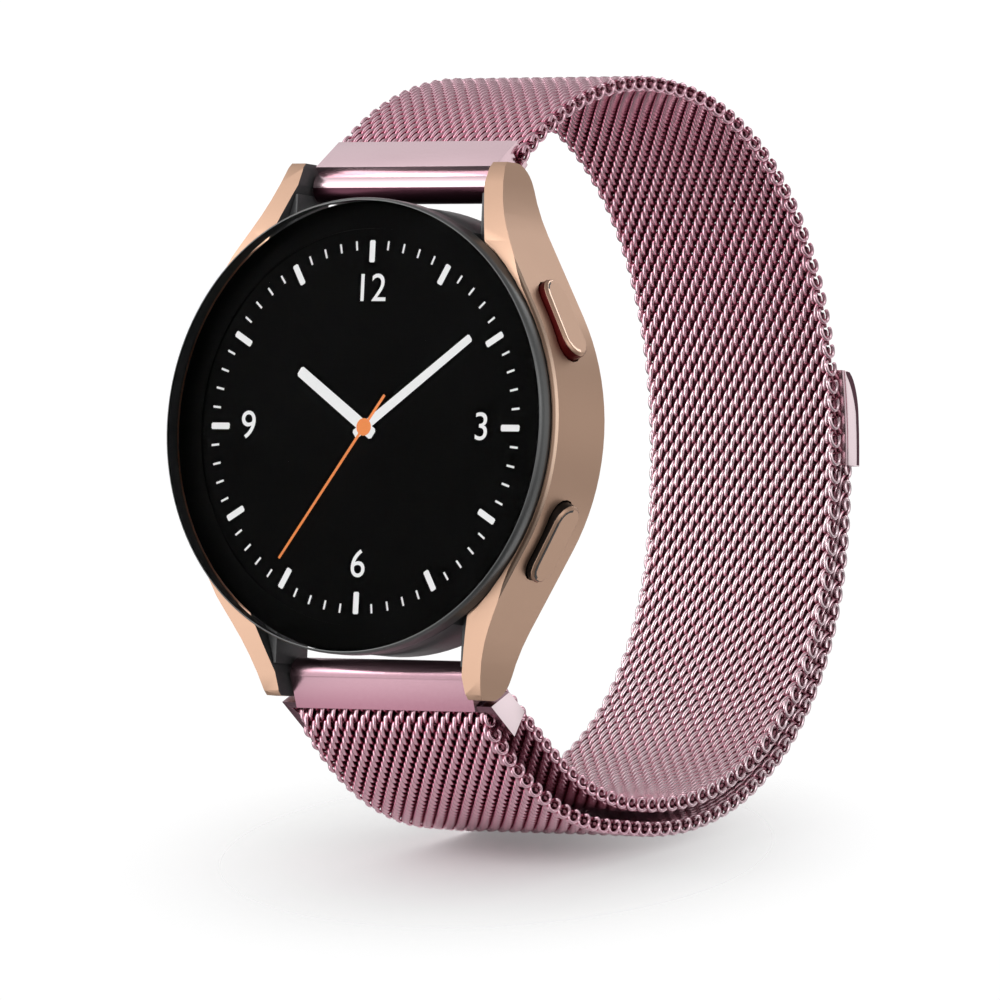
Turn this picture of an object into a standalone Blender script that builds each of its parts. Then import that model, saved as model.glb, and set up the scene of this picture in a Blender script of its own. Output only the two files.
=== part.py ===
"""Round smartwatch on a woven-mesh loop band with a magnetic clasp.

Metres. +X points to 3 o'clock, +Z to 12 o'clock and +Y to the wrist. The origin is the centre of the
sensor window's flat rear face, the face that rests on the wrist. Depths are counted from the front of
the glass towards the wrist.
"""
import math

import bmesh
import bpy
from mathutils import Matrix, Vector

# Head: overall sizes. Depths are counted from the front of the glass.
CASE_RADIUS = 0.0200
CASE_FRONT = 0.0014
CASE_HEIGHT = 0.0075
CASE_WALL = 0.0027
CASE_EDGE_IN = 0.00025
CASE_EDGE_BACK = 0.0005
BACK_BULGE = 0.0014
FLARE_ANGLE = math.radians(30)
FLARE_RUN = 0.0080

# Lugs
LUG_GAP = 0.0194
LUG_TIP_THICKNESS = 0.0013
LUG_TIP_REACH = 0.0020
LUG_DROP = 0.0035
LUG_TIP_CHAMFER = 0.0004
LUG_SHOULDER_RUN = 0.01095
LUG_SHOULDER_CURVE = 1.4
LUG_ROUND_RADIUS = 0.0022
GAP_FLARE_REACH = 0.00005
GAP_FLARE_ANGLE = math.radians(17.5)
LUG_HOLE_RADIUS = 0.0005
LUG_HOLE_LENGTH = 0.00135
PIVOT_INSET = 0.0016

# Glass, gasket and display
GLASS_LIP = 0.00035
GLASS_BORDER = 0.0008
GLASS_EDGE_DROP = 0.0006
GLASS_THICKNESS = 0.0018
GLASS_CLEARANCE = 0.0001
GASKET_WIDTH = 0.0015
GASKET_THICKNESS = 0.0003
DISPLAY_THICKNESS = 0.0011
SEAT_GAP = 0.00015

# Inner bracket and what it carries
BRACKET_CLEARANCE = 0.0002
BRACKET_FLOOR = 0.0005
BRACKET_WALL = 0.0008
BOARD_CLEARANCE = 0.0011
BOARD_THICKNESS = 0.0007
BATTERY_EDGE = 0.0024
BATTERY_GAP = 0.0006
BATTERY_ROOM = 0.0003
SHIELD_SIZE = (0.0062, 0.0120)
SHIELD_THICKNESS = 0.0013
SHIELD_EDGE = 0.0022
HAPTIC_RADIUS = 0.0033
HAPTIC_DROP = 0.0002
HAPTIC_EDGE = 0.0006
SPEAKER_SIZE = (0.0100, 0.0044)
SPEAKER_DROP = 0.0001
SPEAKER_EDGE = 0.0022
SCREW_HEAD_RADIUS = 0.0011
SCREW_HEAD_HEIGHT = 0.0006
SCREW_SHANK_RADIUS = 0.0006
SCREW_BITE = 0.0003
SCREW_EDGE = 0.0012
SCREW_ANGLE = math.radians(47)

# Back cover, coil and sensor window
COVER_CLEARANCE = 0.00015
COVER_EDGE = 0.0003
COVER_RIM = 0.0009
COVER_FLOOR = 0.0005
COVER_LIP = 0.0009
COIL_GAP = 0.0006
COIL_WIDTH = 0.0040
COIL_THICKNESS = 0.0006
SENSOR_BOARD_INSET = 0.0006
SENSOR_BOARD_THICKNESS = 0.0005
WINDOW_RADIUS = 0.0096
WINDOW_BEVEL = 0.0018
WINDOW_THICKNESS = 0.0008
WINDOW_EDGE = 0.0005

# Dark saddles between the lugs
SADDLE_INSET = 0.0007
SADDLE_THICKNESS = 0.0008
SADDLE_CLEARANCE = 0.0001
SADDLE_BAR_GAP = 0.00025
GUSSET_SET_BACK = 0.0027
GUSSET_BAR_GAP = 0.0003
GUSSET_REAR_STEP = 0.0001

# Buttons at 2 and 4 o'clock
BUTTON_ANGLE = math.radians(28)
BUTTON_SET_BACK = 0.0036
BUTTON_LENGTH = 0.0074
BUTTON_WIDTH = 0.0032
BUTTON_STAND = 0.0007
BUTTON_CROWN = 0.0002
BUTTON_THICKNESS = 0.0011
BUTTON_CLEARANCE = 0.00012
BUTTON_TRAVEL = 0.0004
STEM_RADIUS = 0.0006
STEM_CLEARANCE = 0.00008
STEM_REACH = 0.00055
SEAL_RADIUS = 0.00135
SEAL_THICKNESS = 0.00028
SWITCH_SIZE = (0.0036, 0.0022)
SWITCH_HEIGHT = 0.0008
SWITCH_REST_GAP = 0.0001

# Spring bars
BAR_RADIUS = 0.00075
BAR_BORE_RADIUS = 0.00053
BAR_CLEARANCE = 0.0001
BAR_END_GAP = 0.0005
TIP_RADIUS = 0.00044
TIP_ENGAGEMENT = 0.0012
RELEASE_TRAVEL = 0.0013
RELEASE_PIN_START = 0.0046
SPRING_START = 0.0020
SPRING_RADIUS = 0.0004
SPRING_END_GAP = 0.00015
KNOB_X = 0.0074
KNOB_RADIUS = 0.00035
KNOB_LENGTH = 0.0024
KNOB_SLOT_CLEARANCE = 0.0001

# Connectors
BARREL_RADIUS = 0.0014
CONNECTOR_GAP = 0.0004
PLATE_STEP_FRONT = 0.00115
PLATE_STEP_UP = 0.00175
MOUTH_DEPTH = 0.0010
LIP_THICKNESS = 0.0005
MOUTH_CLEARANCE = 0.00012
LOOP_BAR_RADIUS = 0.0011
LOOP_BAR_LENGTH = 0.0010
LOOP_CHEEK_HALF = 0.0013
LOOP_CHEEK_THICKNESS = 0.00075
LOOP_SIDE_CLEARANCE = 0.00015
LOOP_PASSAGE_CLEARANCE = 0.0002
LOOP_PLATE_STEP = 0.00125
LOOP_PLATE_TOP = 0.0004
LOOP_PLATE_LOW = 0.00295
LOOP_PLATE_SLOPE = 0.00105
LOOP_CHEEK_FRONT = 0.0034
LOOP_CHEEK_REAR = 0.0019
FOLD_BACK = 0.00343
FOLD_DROP = 0.00318
INNER_LEG_ANGLE = math.radians(32)
TAIL_LEG_ANGLE = math.radians(42)
FOLD_CLEARANCE = 0.0001

# Woven strap. Backs, rises and drops are counted from the spring bars.
STRAP_WIDTH = 0.0200
STRAP_THICKNESS = 0.0014
STRAP_START_BACK = 0.0018
STRAP_START_RISE = 0.00308
STRAP_TOP_RISE = 0.01175
STRAP_TOP_RADIUS = 0.0310
STRAP_REAR_BACK = 0.0551
STRAP_REAR_Z = -0.0030
STRAP_BOTTOM_BACK = 0.0248
STRAP_BOTTOM_DROP = 0.01035
STRAP_SQUARENESS = 2.2
TAIL_GAP = 0.00072
STRAP_JOIN_GAP = 0.0003
TOP_FLEX_LENGTH = 0.0100
FOLD_LEG_LENGTH = 0.0050
WEAVE_ROW = 0.0008
WEAVE_DEPTH = 0.00035

# Magnetic clasp
CLASP_LOW_Z = 0.0011
CLASP_LENGTH = 0.0084
CLASP_TAPER = 0.0037
CLASP_SIDE_LIP = 0.0002
CLASP_GAP = 0.0003
CLASP_PLATE_THICKNESS = 0.0003
CLASP_WALL = 0.00031
CLASP_TIP_OUTER = 0.0012
CLASP_FIT = 0.00012
CLASP_MOUTH = 0.0012
MAGNET_LENGTH = 0.0044
MAGNET_WIDTH = 0.0080
MAGNET_THICKNESS = 0.0008

BIG_SEGMENTS = 64
SMALL_SEGMENTS = 16
TINY_SEGMENTS = 12
OVERCUT = 0.004

# Sizes that follow from the ones above
CASE_REAR = CASE_FRONT + CASE_HEIGHT
HEAD_DEPTH = CASE_REAR + BACK_BULGE
FACE_Y = -HEAD_DEPTH
CASE_BORE_RADIUS = CASE_RADIUS - CASE_WALL
GLASS_RADIUS = CASE_RADIUS - GLASS_LIP - GLASS_CLEARANCE
SADDLE_RADIUS = CASE_RADIUS - SADDLE_INSET
BUTTON_TOP = CASE_RADIUS + BUTTON_STAND
BUTTON_DEPTH = CASE_FRONT + BUTTON_SET_BACK
PIVOT_Z = SADDLE_RADIUS + SADDLE_BAR_GAP + BARREL_RADIUS
PIVOT_DEPTH = CASE_REAR - PIVOT_INSET
PIVOT_Y = PIVOT_DEPTH + FACE_Y
LUG_TIP_Z = PIVOT_Z + LUG_TIP_REACH
LUG_INNER_X = LUG_GAP / 2
LUG_OUTER_X = LUG_INNER_X + LUG_TIP_THICKNESS
GAP_FLARE_Z = PIVOT_Z + GAP_FLARE_REACH
STRAP_HALF = STRAP_WIDTH / 2
STRAP_TOP_Z = PIVOT_Z + STRAP_TOP_RISE
STRAP_BOTTOM_Z = -PIVOT_Z - STRAP_BOTTOM_DROP
STRAP_TOP_RUN = math.sqrt(STRAP_TOP_RADIUS ** 2 - (STRAP_START_RISE - STRAP_TOP_RISE + STRAP_TOP_RADIUS) ** 2)
STRAP_TOP_Y = PIVOT_Y + STRAP_START_BACK + STRAP_TOP_RUN
STRAP_REAR_Y = PIVOT_Y + STRAP_REAR_BACK
STRAP_BOTTOM_Y = PIVOT_Y + STRAP_BOTTOM_BACK
CLASP_HIGH_Z = CLASP_LOW_Z + CLASP_LENGTH
CLASP_TAPER_Z = CLASP_HIGH_Z - CLASP_TAPER
CLASP_SHELL_OUTER = TAIL_GAP + STRAP_THICKNESS + MOUTH_CLEARANCE + CLASP_WALL


def clear_scene():
    for item in list(bpy.data.objects):
        bpy.data.objects.remove(item, do_unlink=True)


def finish(name, colour, roughness, metallic):
    """A plain Principled material."""
    material = bpy.data.materials.new(name)
    material.use_nodes = True
    shader = material.node_tree.nodes["Principled BSDF"]
    shader.inputs["Base Color"].default_value = (*colour, 1.0)
    shader.inputs["Roughness"].default_value = roughness
    shader.inputs["Metallic"].default_value = metallic
    return material


def make_object(name, bm, material):
    """Turn a bmesh into a named, smooth-shaded object whose faces point outwards."""
    bmesh.ops.recalc_face_normals(bm, faces=bm.faces)
    mesh = bpy.data.meshes.new(name)
    bm.to_mesh(mesh)
    bm.free()
    mesh.shade_smooth()
    mesh.set_sharp_from_angle(angle=math.radians(32))
    mesh.materials.append(material)
    item = bpy.data.objects.new(name, mesh)
    bpy.context.scene.collection.objects.link(item)
    return item


def loft(name, layers, place, material):
    """Join outlines of equal length, each at its own height, into one closed solid."""
    bm = bmesh.new()
    rings = [[bm.verts.new(place(a, b, height)) for a, b in outline] for outline, height in layers]
    count = len(rings[0])
    for low, high in zip(rings, rings[1:]):
        for i in range(count):
            j = (i + 1) % count
            bm.faces.new((low[i], low[j], high[j], high[i]))
    bm.faces.new(rings[0])
    bm.faces.new(rings[-1])
    return make_object(name, bm, material)


def prism(name, outline, low, high, place, material):
    return loft(name, [(outline, low), (outline, high)], place, material)


def lathe(name, profile, material, centre=(0.0, 0.0), segments=BIG_SEGMENTS):
    """Turn a closed profile of (radius, depth) about an axis along Y through centre (x, z)."""
    bm = bmesh.new()
    rings = []
    for radius, deep in profile:
        count = segments if radius > 0 else 1
        ring = []
        for i in range(count):
            turn = 2 * math.pi * i / count
            x = centre[0] + radius * math.cos(turn)
            z = centre[1] + radius * math.sin(turn)
            ring.append(bm.verts.new((x, deep + FACE_Y, z)))
        rings.append(ring)
    for first, second in zip(rings, rings[1:] + rings[:1]):
        for i in range(segments):
            corners = []
            for ring, k in ((first, i), (first, i + 1), (second, i + 1), (second, i)):
                corner = ring[k % len(ring)]
                if corner not in corners:
                    corners.append(corner)
            if len(corners) > 2:
                bm.faces.new(corners)
    return make_object(name, bm, material)


def through_head(x, z, depth):
    """An outline in X and Z, carried from the glass towards the wrist."""
    return Vector((x, depth + FACE_Y, z))


def across(y, z, x):
    """An outline in Y and Z, carried from 9 o'clock to 3 o'clock."""
    return Vector((x, y, z))


def on_wall(angle):
    """An outline on the case wall at an angle above 3 o'clock, carried outwards by radius."""
    out = Vector((math.cos(angle), 0, math.sin(angle)))
    along = Vector((-math.sin(angle), 0, math.cos(angle)))

    def place(a, depth, radius):
        return out * radius + along * a + Vector((0, depth + FACE_Y, 0))

    return place


def arc(centre, radius, start, end, steps):
    """Points along an arc, both ends included. Angles in radians."""
    points = []
    for i in range(steps + 1):
        turn = start + (end - start) * i / steps
        points.append((centre[0] + radius * math.cos(turn), centre[1] + radius * math.sin(turn)))
    return points


def circle(centre, radius, segments):
    return arc(centre, radius, 0, 2 * math.pi * (segments - 1) / segments, segments - 1)


def rectangle(centre, width, height):
    (a, b), w, h = centre, width / 2, height / 2
    return [(a - w, b - h), (a + w, b - h), (a + w, b + h), (a - w, b + h)]


def pill(centre, length, width, grow=0.0):
    """A slot outline with round ends, long in its first coordinate."""
    radius = width / 2 + grow
    reach = (length - width) / 2
    right = arc((centre[0] + reach, centre[1]), radius, -math.pi / 2, math.pi / 2, 8)
    left = arc((centre[0] - reach, centre[1]), radius, math.pi / 2, 1.5 * math.pi, 8)
    return right + left


def hidden(item):
    """Keep a cutter out of the model."""
    item.hide_render = True
    item.display_type = "WIRE"
    return item


def combine(target, other, operation):
    modifier = target.modifiers.new(operation.lower(), "BOOLEAN")
    modifier.operation = operation
    modifier.solver = "EXACT"
    modifier.object = hidden(other)


def cut(target, *cutters):
    for item in cutters:
        combine(target, item, "DIFFERENCE")


def pivot(name, location):
    empty = bpy.data.objects.new(name, None)
    empty.location = location
    bpy.context.scene.collection.objects.link(empty)
    return empty


def hang(empty, *items):
    """Parent pieces to a joint's empty, with their meshes kept where they are."""
    for item in items:
        item.data.transform(Matrix.Translation(-Vector(empty.location)))
        item.parent = empty


def case_outline(inset=0.0):
    """Front view of the case: a circle that flares into straight lugs at each corner, drawn in by an inset."""
    case_radius = CASE_RADIUS - inset
    lug_x = LUG_OUTER_X - inset
    start = (case_radius * math.cos(FLARE_ANGLE), case_radius * math.sin(FLARE_ANGLE))
    heading = (-math.sin(FLARE_ANGLE), math.cos(FLARE_ANGLE))
    foot = (start[0] + FLARE_RUN * heading[0], start[1] + FLARE_RUN * heading[1])
    radius = (foot[0] - lug_x) / (1 - math.cos(FLARE_ANGLE))
    centre = (lug_x + radius, foot[1] + radius * math.sin(FLARE_ANGLE))
    quarter = arc((0, 0), case_radius, 0, FLARE_ANGLE, 9)
    quarter += arc(centre, radius, math.pi + FLARE_ANGLE, math.pi, 6)
    quarter.append((lug_x, LUG_TIP_Z + OVERCUT))
    top = quarter + [(-x, z) for x, z in reversed(quarter)]
    bottom = [(x, -z) for x, z in reversed(top)]
    return top + bottom[1:-1]


def case_side():
    """Side view of the case in depth and Z: the front falls back along the lugs to their round tips."""
    upper = []
    steps = 8
    end = LUG_TIP_Z - LUG_TIP_CHAMFER
    start = LUG_TIP_Z - LUG_SHOULDER_RUN
    tip_front = CASE_FRONT + LUG_DROP
    for i in range(steps + 1):
        share = i / steps
        upper.append((CASE_FRONT + LUG_DROP * share ** LUG_SHOULDER_CURVE, start + (end - start) * share))
    upper.append((tip_front + LUG_TIP_CHAMFER, LUG_TIP_Z))
    centre = (CASE_REAR - LUG_ROUND_RADIUS, LUG_TIP_Z - LUG_ROUND_RADIUS)
    upper += arc(centre, LUG_ROUND_RADIUS, math.pi / 2, 0, 8)
    return upper + [(depth, -z) for depth, z in reversed(upper)]


def glass_recess_depth():
    return GLASS_THICKNESS + GASKET_THICKNESS + 2 * GLASS_CLEARANCE


def gap_edge(z):
    """Half width of the space between two lugs at a height, which flares towards the case."""
    return LUG_INNER_X + max(0, GAP_FLARE_Z - z) * math.tan(GAP_FLARE_ANGLE)


def gap_root():
    """Point where the flared side of the lug space meets the case's inner wall."""
    wall = SADDLE_RADIUS - SADDLE_THICKNESS - SADDLE_CLEARANCE
    start = Vector((LUG_INNER_X, GAP_FLARE_Z))
    heading = Vector((math.sin(GAP_FLARE_ANGLE), -math.cos(GAP_FLARE_ANGLE)))
    along = start.dot(heading)
    run = -along - math.sqrt(along * along - start.length_squared + wall * wall)
    return start + heading * run


def lug_space(name, side):
    """Cutter for the open space between two lugs, round the case's inner wall."""
    root = gap_root()
    low = math.atan2(root.y, root.x)
    outline = arc((0, 0), root.length, low, math.pi - low, 24)
    top = LUG_TIP_Z + 2 * OVERCUT
    outline += [(-LUG_INNER_X, GAP_FLARE_Z), (-LUG_INNER_X, top), (LUG_INNER_X, top), (LUG_INNER_X, GAP_FLARE_Z)]
    outline = [(x, side * z) for x, z in outline]
    return prism(name, outline, -OVERCUT, HEAD_DEPTH + OVERCUT, through_head, PLAIN)


def stem_inner_radius():
    """Radius where a button's stem ends, inside the case wall."""
    return CASE_BORE_RADIUS - STEM_REACH


def pocket_floor_radius():
    return BUTTON_TOP - BUTTON_CROWN - BUTTON_THICKNESS - BUTTON_TRAVEL - SEAT_GAP


def button_cutters(name, angle):
    place = on_wall(angle)
    centre = (0, BUTTON_DEPTH)
    floor = pocket_floor_radius()
    outline = pill(centre, BUTTON_LENGTH, BUTTON_WIDTH, BUTTON_CLEARANCE)
    pocket = prism(f"{name}_pocket", outline, floor, CASE_RADIUS + OVERCUT, place, PLAIN)
    ring = circle(centre, SEAL_RADIUS + STEM_CLEARANCE, SMALL_SEGMENTS)
    seat_low = floor - SEAL_THICKNESS - STEM_CLEARANCE
    seat = prism(f"{name}_seal_seat", ring, seat_low, floor + SEAT_GAP, place, PLAIN)
    hole = circle(centre, STEM_RADIUS + STEM_CLEARANCE, SMALL_SEGMENTS)
    bore = prism(f"{name}_stem_hole", hole, CASE_BORE_RADIUS - OVERCUT, floor, place, PLAIN)
    return pocket, seat, bore


def build_case():
    full, drawn_in = case_outline(), case_outline(CASE_EDGE_IN)
    layers = [(drawn_in, 0), (drawn_in, CASE_FRONT), (full, CASE_FRONT + CASE_EDGE_BACK), (full, HEAD_DEPTH)]
    case = loft("case_frame", layers, through_head, GOLD)
    side = [(depth + FACE_Y, z) for depth, z in case_side()]
    reach = CASE_RADIUS + OVERCUT
    combine(case, prism("case_side_mask", side, -reach, reach, across, PLAIN), "INTERSECT")
    recess = glass_recess_depth()
    opening = GLASS_RADIUS + GLASS_CLEARANCE
    bore = [(0, -OVERCUT), (opening, -OVERCUT), (opening, recess), (CASE_BORE_RADIUS, recess)]
    bore += [(CASE_BORE_RADIUS, HEAD_DEPTH + OVERCUT), (0, HEAD_DEPTH + OVERCUT)]
    cut(case, lathe("case_bore", bore, PLAIN))
    for name, side in (("upper", 1), ("lower", -1)):
        cut(case, lug_space(f"{name}_lug_space", side))
        reach = LUG_INNER_X + LUG_HOLE_LENGTH
        hole = circle((PIVOT_Y, side * PIVOT_Z), LUG_HOLE_RADIUS, SMALL_SEGMENTS)
        cut(case, prism(f"{name}_lug_holes", hole, -reach, reach, across, PLAIN))
        cut(case, *button_cutters(name, side * BUTTON_ANGLE))
    return case


def build_glass_stack():
    """Glass, its gasket and the display bonded behind it."""
    flat = GLASS_RADIUS - GLASS_BORDER
    edge = arc((flat, GLASS_EDGE_DROP), GLASS_EDGE_DROP, -math.pi / 2, -math.pi / 6, 3)
    glass = [(0, 0)] + edge + [(GLASS_RADIUS, GLASS_EDGE_DROP), (GLASS_RADIUS, GLASS_THICKNESS)]
    lathe("front_glass", glass + [(0, GLASS_THICKNESS)], GLASS)
    outer = GLASS_RADIUS - GLASS_CLEARANCE
    top = GLASS_THICKNESS + GLASS_CLEARANCE
    bottom = top + GASKET_THICKNESS
    ring = [(outer, top), (outer, bottom), (outer - GASKET_WIDTH, bottom), (outer - GASKET_WIDTH, top)]
    lathe("front_gasket", ring, RUBBER)
    radius = CASE_BORE_RADIUS - BRACKET_CLEARANCE
    front = GLASS_THICKNESS + SEAT_GAP
    rear = front + DISPLAY_THICKNESS
    lathe("display_panel", [(0, front), (radius, front), (radius, rear), (0, rear)], DISPLAY)
    return rear


def tray_notch(name, angle):
    """Cutter that lets a dome switch into the bracket's wall."""
    place = on_wall(angle)
    width = SWITCH_SIZE[0] + 2 * BRACKET_CLEARANCE
    outline = rectangle((0, BUTTON_DEPTH + OVERCUT / 2), width, SWITCH_SIZE[1] + OVERCUT)
    outline = [(a, max(b, BUTTON_DEPTH - SWITCH_SIZE[1] / 2 - BRACKET_CLEARANCE)) for a, b in outline]
    low = CASE_BORE_RADIUS - BRACKET_CLEARANCE - 2 * BRACKET_WALL
    return prism(name, outline, low, CASE_RADIUS, place, PLAIN)


def board_radius():
    return CASE_BORE_RADIUS - BRACKET_CLEARANCE - BRACKET_WALL - BOARD_CLEARANCE


def screw_places():
    radius = board_radius() - SCREW_EDGE
    x, z = radius * math.cos(SCREW_ANGLE), radius * math.sin(SCREW_ANGLE)
    return [(x, z), (x, -z), (-x, z), (-x, -z)]


def bracket_rim():
    """Depth of the bracket's rear edge, which carries the back gasket and the cover."""
    return CASE_REAR - COVER_EDGE - GASKET_THICKNESS - 2 * GLASS_CLEARANCE


def cover_inside():
    """Depth of the back cover's inner face."""
    return HEAD_DEPTH - WINDOW_THICKNESS - SEAT_GAP - COVER_FLOOR


def build_electronics(front):
    """Bracket, board and everything on the board. front is the depth where the display ends."""
    outer = CASE_BORE_RADIUS - BRACKET_CLEARANCE
    inner = outer - BRACKET_WALL
    low = front + SEAT_GAP
    floor = low + BRACKET_FLOOR
    rim = bracket_rim()
    tray = [(0, low), (outer, low), (outer, rim), (inner, rim), (inner, floor), (0, floor)]
    bracket = lathe("inner_bracket", tray, PLASTIC)
    cut(bracket, tray_notch("upper_notch", BUTTON_ANGLE), tray_notch("lower_notch", -BUTTON_ANGLE))

    board_low = floor + SEAT_GAP
    board_top = board_low + BOARD_THICKNESS
    radius = board_radius()
    disc = [(0, board_low), (radius, board_low), (radius, board_top), (0, board_top)]
    board = lathe("main_board", disc, BOARD)
    on_board = board_top + SEAT_GAP
    for number, place in enumerate(screw_places(), 1):
        bite = floor - SCREW_BITE
        bored = SCREW_SHANK_RADIUS + STEM_CLEARANCE
        hole = [(0, bite - STEM_CLEARANCE), (bored, bite - STEM_CLEARANCE)]
        hole += [(bored, board_top + OVERCUT), (0, board_top + OVERCUT)]
        for target in (bracket, board):
            cutter = f"{target.name}_screw_hole_{number}"
            cut(target, lathe(cutter, hole, PLAIN, place, TINY_SEGMENTS))
        top = on_board + SCREW_HEAD_HEIGHT
        screw = [(0, bite), (SCREW_SHANK_RADIUS, bite), (SCREW_SHANK_RADIUS, on_board)]
        screw += [(SCREW_HEAD_RADIUS, on_board), (SCREW_HEAD_RADIUS, top), (0, top)]
        lathe(f"bracket_screw_{number}", screw, STEEL, place, TINY_SEGMENTS)

    def on_board_prism(name, outline, top, material):
        prism(name, outline, on_board, top, through_head, material)

    ceiling = cover_inside() - SEAT_GAP - COIL_THICKNESS - BATTERY_ROOM
    shield_x = radius - SHIELD_EDGE - SHIELD_SIZE[0] / 2
    haptic_z = radius - HAPTIC_EDGE - HAPTIC_RADIUS
    speaker_z = SPEAKER_EDGE + SPEAKER_SIZE[1] / 2 - radius
    left = BATTERY_EDGE - radius
    right = shield_x - SHIELD_SIZE[0] / 2 - BATTERY_GAP
    top = haptic_z - HAPTIC_RADIUS - BATTERY_GAP
    bottom = speaker_z + SPEAKER_SIZE[1] / 2 + BATTERY_GAP
    cell = rectangle(((left + right) / 2, (top + bottom) / 2), right - left, top - bottom)
    on_board_prism("battery", cell, ceiling, CELL)
    can = rectangle((shield_x, 0), *SHIELD_SIZE)
    on_board_prism("shield_can", can, on_board + SHIELD_THICKNESS, STEEL)
    coin = circle((0, haptic_z), HAPTIC_RADIUS, 2 * TINY_SEGMENTS)
    on_board_prism("haptic_motor", coin, ceiling - HAPTIC_DROP, STEEL)
    on_board_prism("speaker", rectangle((0, speaker_z), *SPEAKER_SIZE), ceiling - SPEAKER_DROP, PLASTIC)


def build_back():
    """Back gasket, cover, coil, sensor board and window."""
    outer = CASE_BORE_RADIUS - COVER_CLEARANCE
    seal_low = bracket_rim() + GLASS_CLEARANCE
    seal_top = seal_low + GASKET_THICKNESS
    seal_in = outer - BRACKET_WALL
    seal = [(outer, seal_low), (outer, seal_top), (seal_in, seal_top), (seal_in, seal_low)]
    lathe("back_gasket", seal, RUBBER)

    front = seal_top + GLASS_CLEARANCE
    window_front = HEAD_DEPTH - WINDOW_THICKNESS
    window_seat = window_front - SEAT_GAP
    inside = cover_inside()
    ledge = WINDOW_RADIUS - SENSOR_BOARD_INSET - COVER_LIP
    opening = WINDOW_RADIUS + COVER_CLEARANCE
    rear_rim = CASE_REAR + SEAT_GAP
    rear_lip = HEAD_DEPTH - WINDOW_EDGE
    cover = [(outer, front), (outer, rear_rim), (opening + COVER_LIP, rear_lip), (opening, rear_lip)]
    cover += [(opening, window_seat), (ledge, window_seat)]
    cover += [(ledge, inside), (outer - COVER_RIM, inside)]
    cover.append((outer - COVER_RIM, front))
    lathe("back_cover", cover, DARK)

    def under_cover(name, inner, radius, thickness, material):
        top = inside - SEAT_GAP
        if inner:
            ring = [(inner, top - thickness), (radius, top - thickness), (radius, top), (inner, top)]
        else:
            ring = [(0, top - thickness), (radius, top - thickness), (radius, top), (0, top)]
        lathe(name, ring, material)

    sensor = WINDOW_RADIUS - SENSOR_BOARD_INSET
    coil = sensor + COIL_GAP
    under_cover("charging_coil", coil, coil + COIL_WIDTH, COIL_THICKNESS, COPPER)
    under_cover("sensor_board", 0, sensor, SENSOR_BOARD_THICKNESS, BOARD)
    edge = HEAD_DEPTH - WINDOW_EDGE
    window = [(0, window_front), (WINDOW_RADIUS, window_front), (WINDOW_RADIUS, edge)]
    window += [(WINDOW_RADIUS - WINDOW_BEVEL, HEAD_DEPTH), (0, HEAD_DEPTH)]
    lathe("sensor_window", window, GLASS)


def on_circle(x, radius):
    return x, math.sqrt(radius * radius - x * x)


def gusset_outline():
    """Corner of a saddle that lines the inner face of one lug."""
    face = LUG_INNER_X - SADDLE_CLEARANCE
    top = PIVOT_Z - TIP_RADIUS - GUSSET_BAR_GAP
    inside = SADDLE_RADIUS - SADDLE_THICKNESS / 2
    low = gap_root().y + SADDLE_THICKNESS / 2
    clear = SADDLE_CLEARANCE / math.cos(GAP_FLARE_ANGLE)
    outline = [on_circle(face - SADDLE_THICKNESS / 2, inside), (gap_edge(low) - clear, low)]
    return outline + [(gap_edge(top) - clear, top), (face, top), on_circle(face, SADDLE_RADIUS - SADDLE_CLEARANCE)]


def build_saddles():
    """Dark covers over the case wall, one between each pair of lugs, with gussets along the lugs."""
    inner = SADDLE_RADIUS - SADDLE_THICKNESS
    outer_reach = math.asin(LUG_INNER_X / SADDLE_RADIUS)
    inner_reach = math.asin(LUG_INNER_X / inner)
    up = math.pi / 2
    for name, side in (("upper_saddle", 1), ("lower_saddle", -1)):
        outline = arc((0, 0), SADDLE_RADIUS, up - outer_reach, up + outer_reach, 20)
        outline += arc((0, 0), inner, up + inner_reach, up - inner_reach, 20)
        outline = [(x, side * z) for x, z in outline]
        front = glass_recess_depth() + SADDLE_CLEARANCE
        saddle = prism(name, outline, front, CASE_REAR, through_head, DARK)
        for hand, flip in (("right", 1), ("left", -1)):
            corner = [(flip * x, side * z) for x, z in gusset_outline()]
            rear = CASE_REAR - GUSSET_REAR_STEP
            gusset = prism(f"{name}_{hand}_gusset", corner, CASE_FRONT + GUSSET_SET_BACK, rear, through_head, PLAIN)
            combine(saddle, gusset, "UNION")


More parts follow.
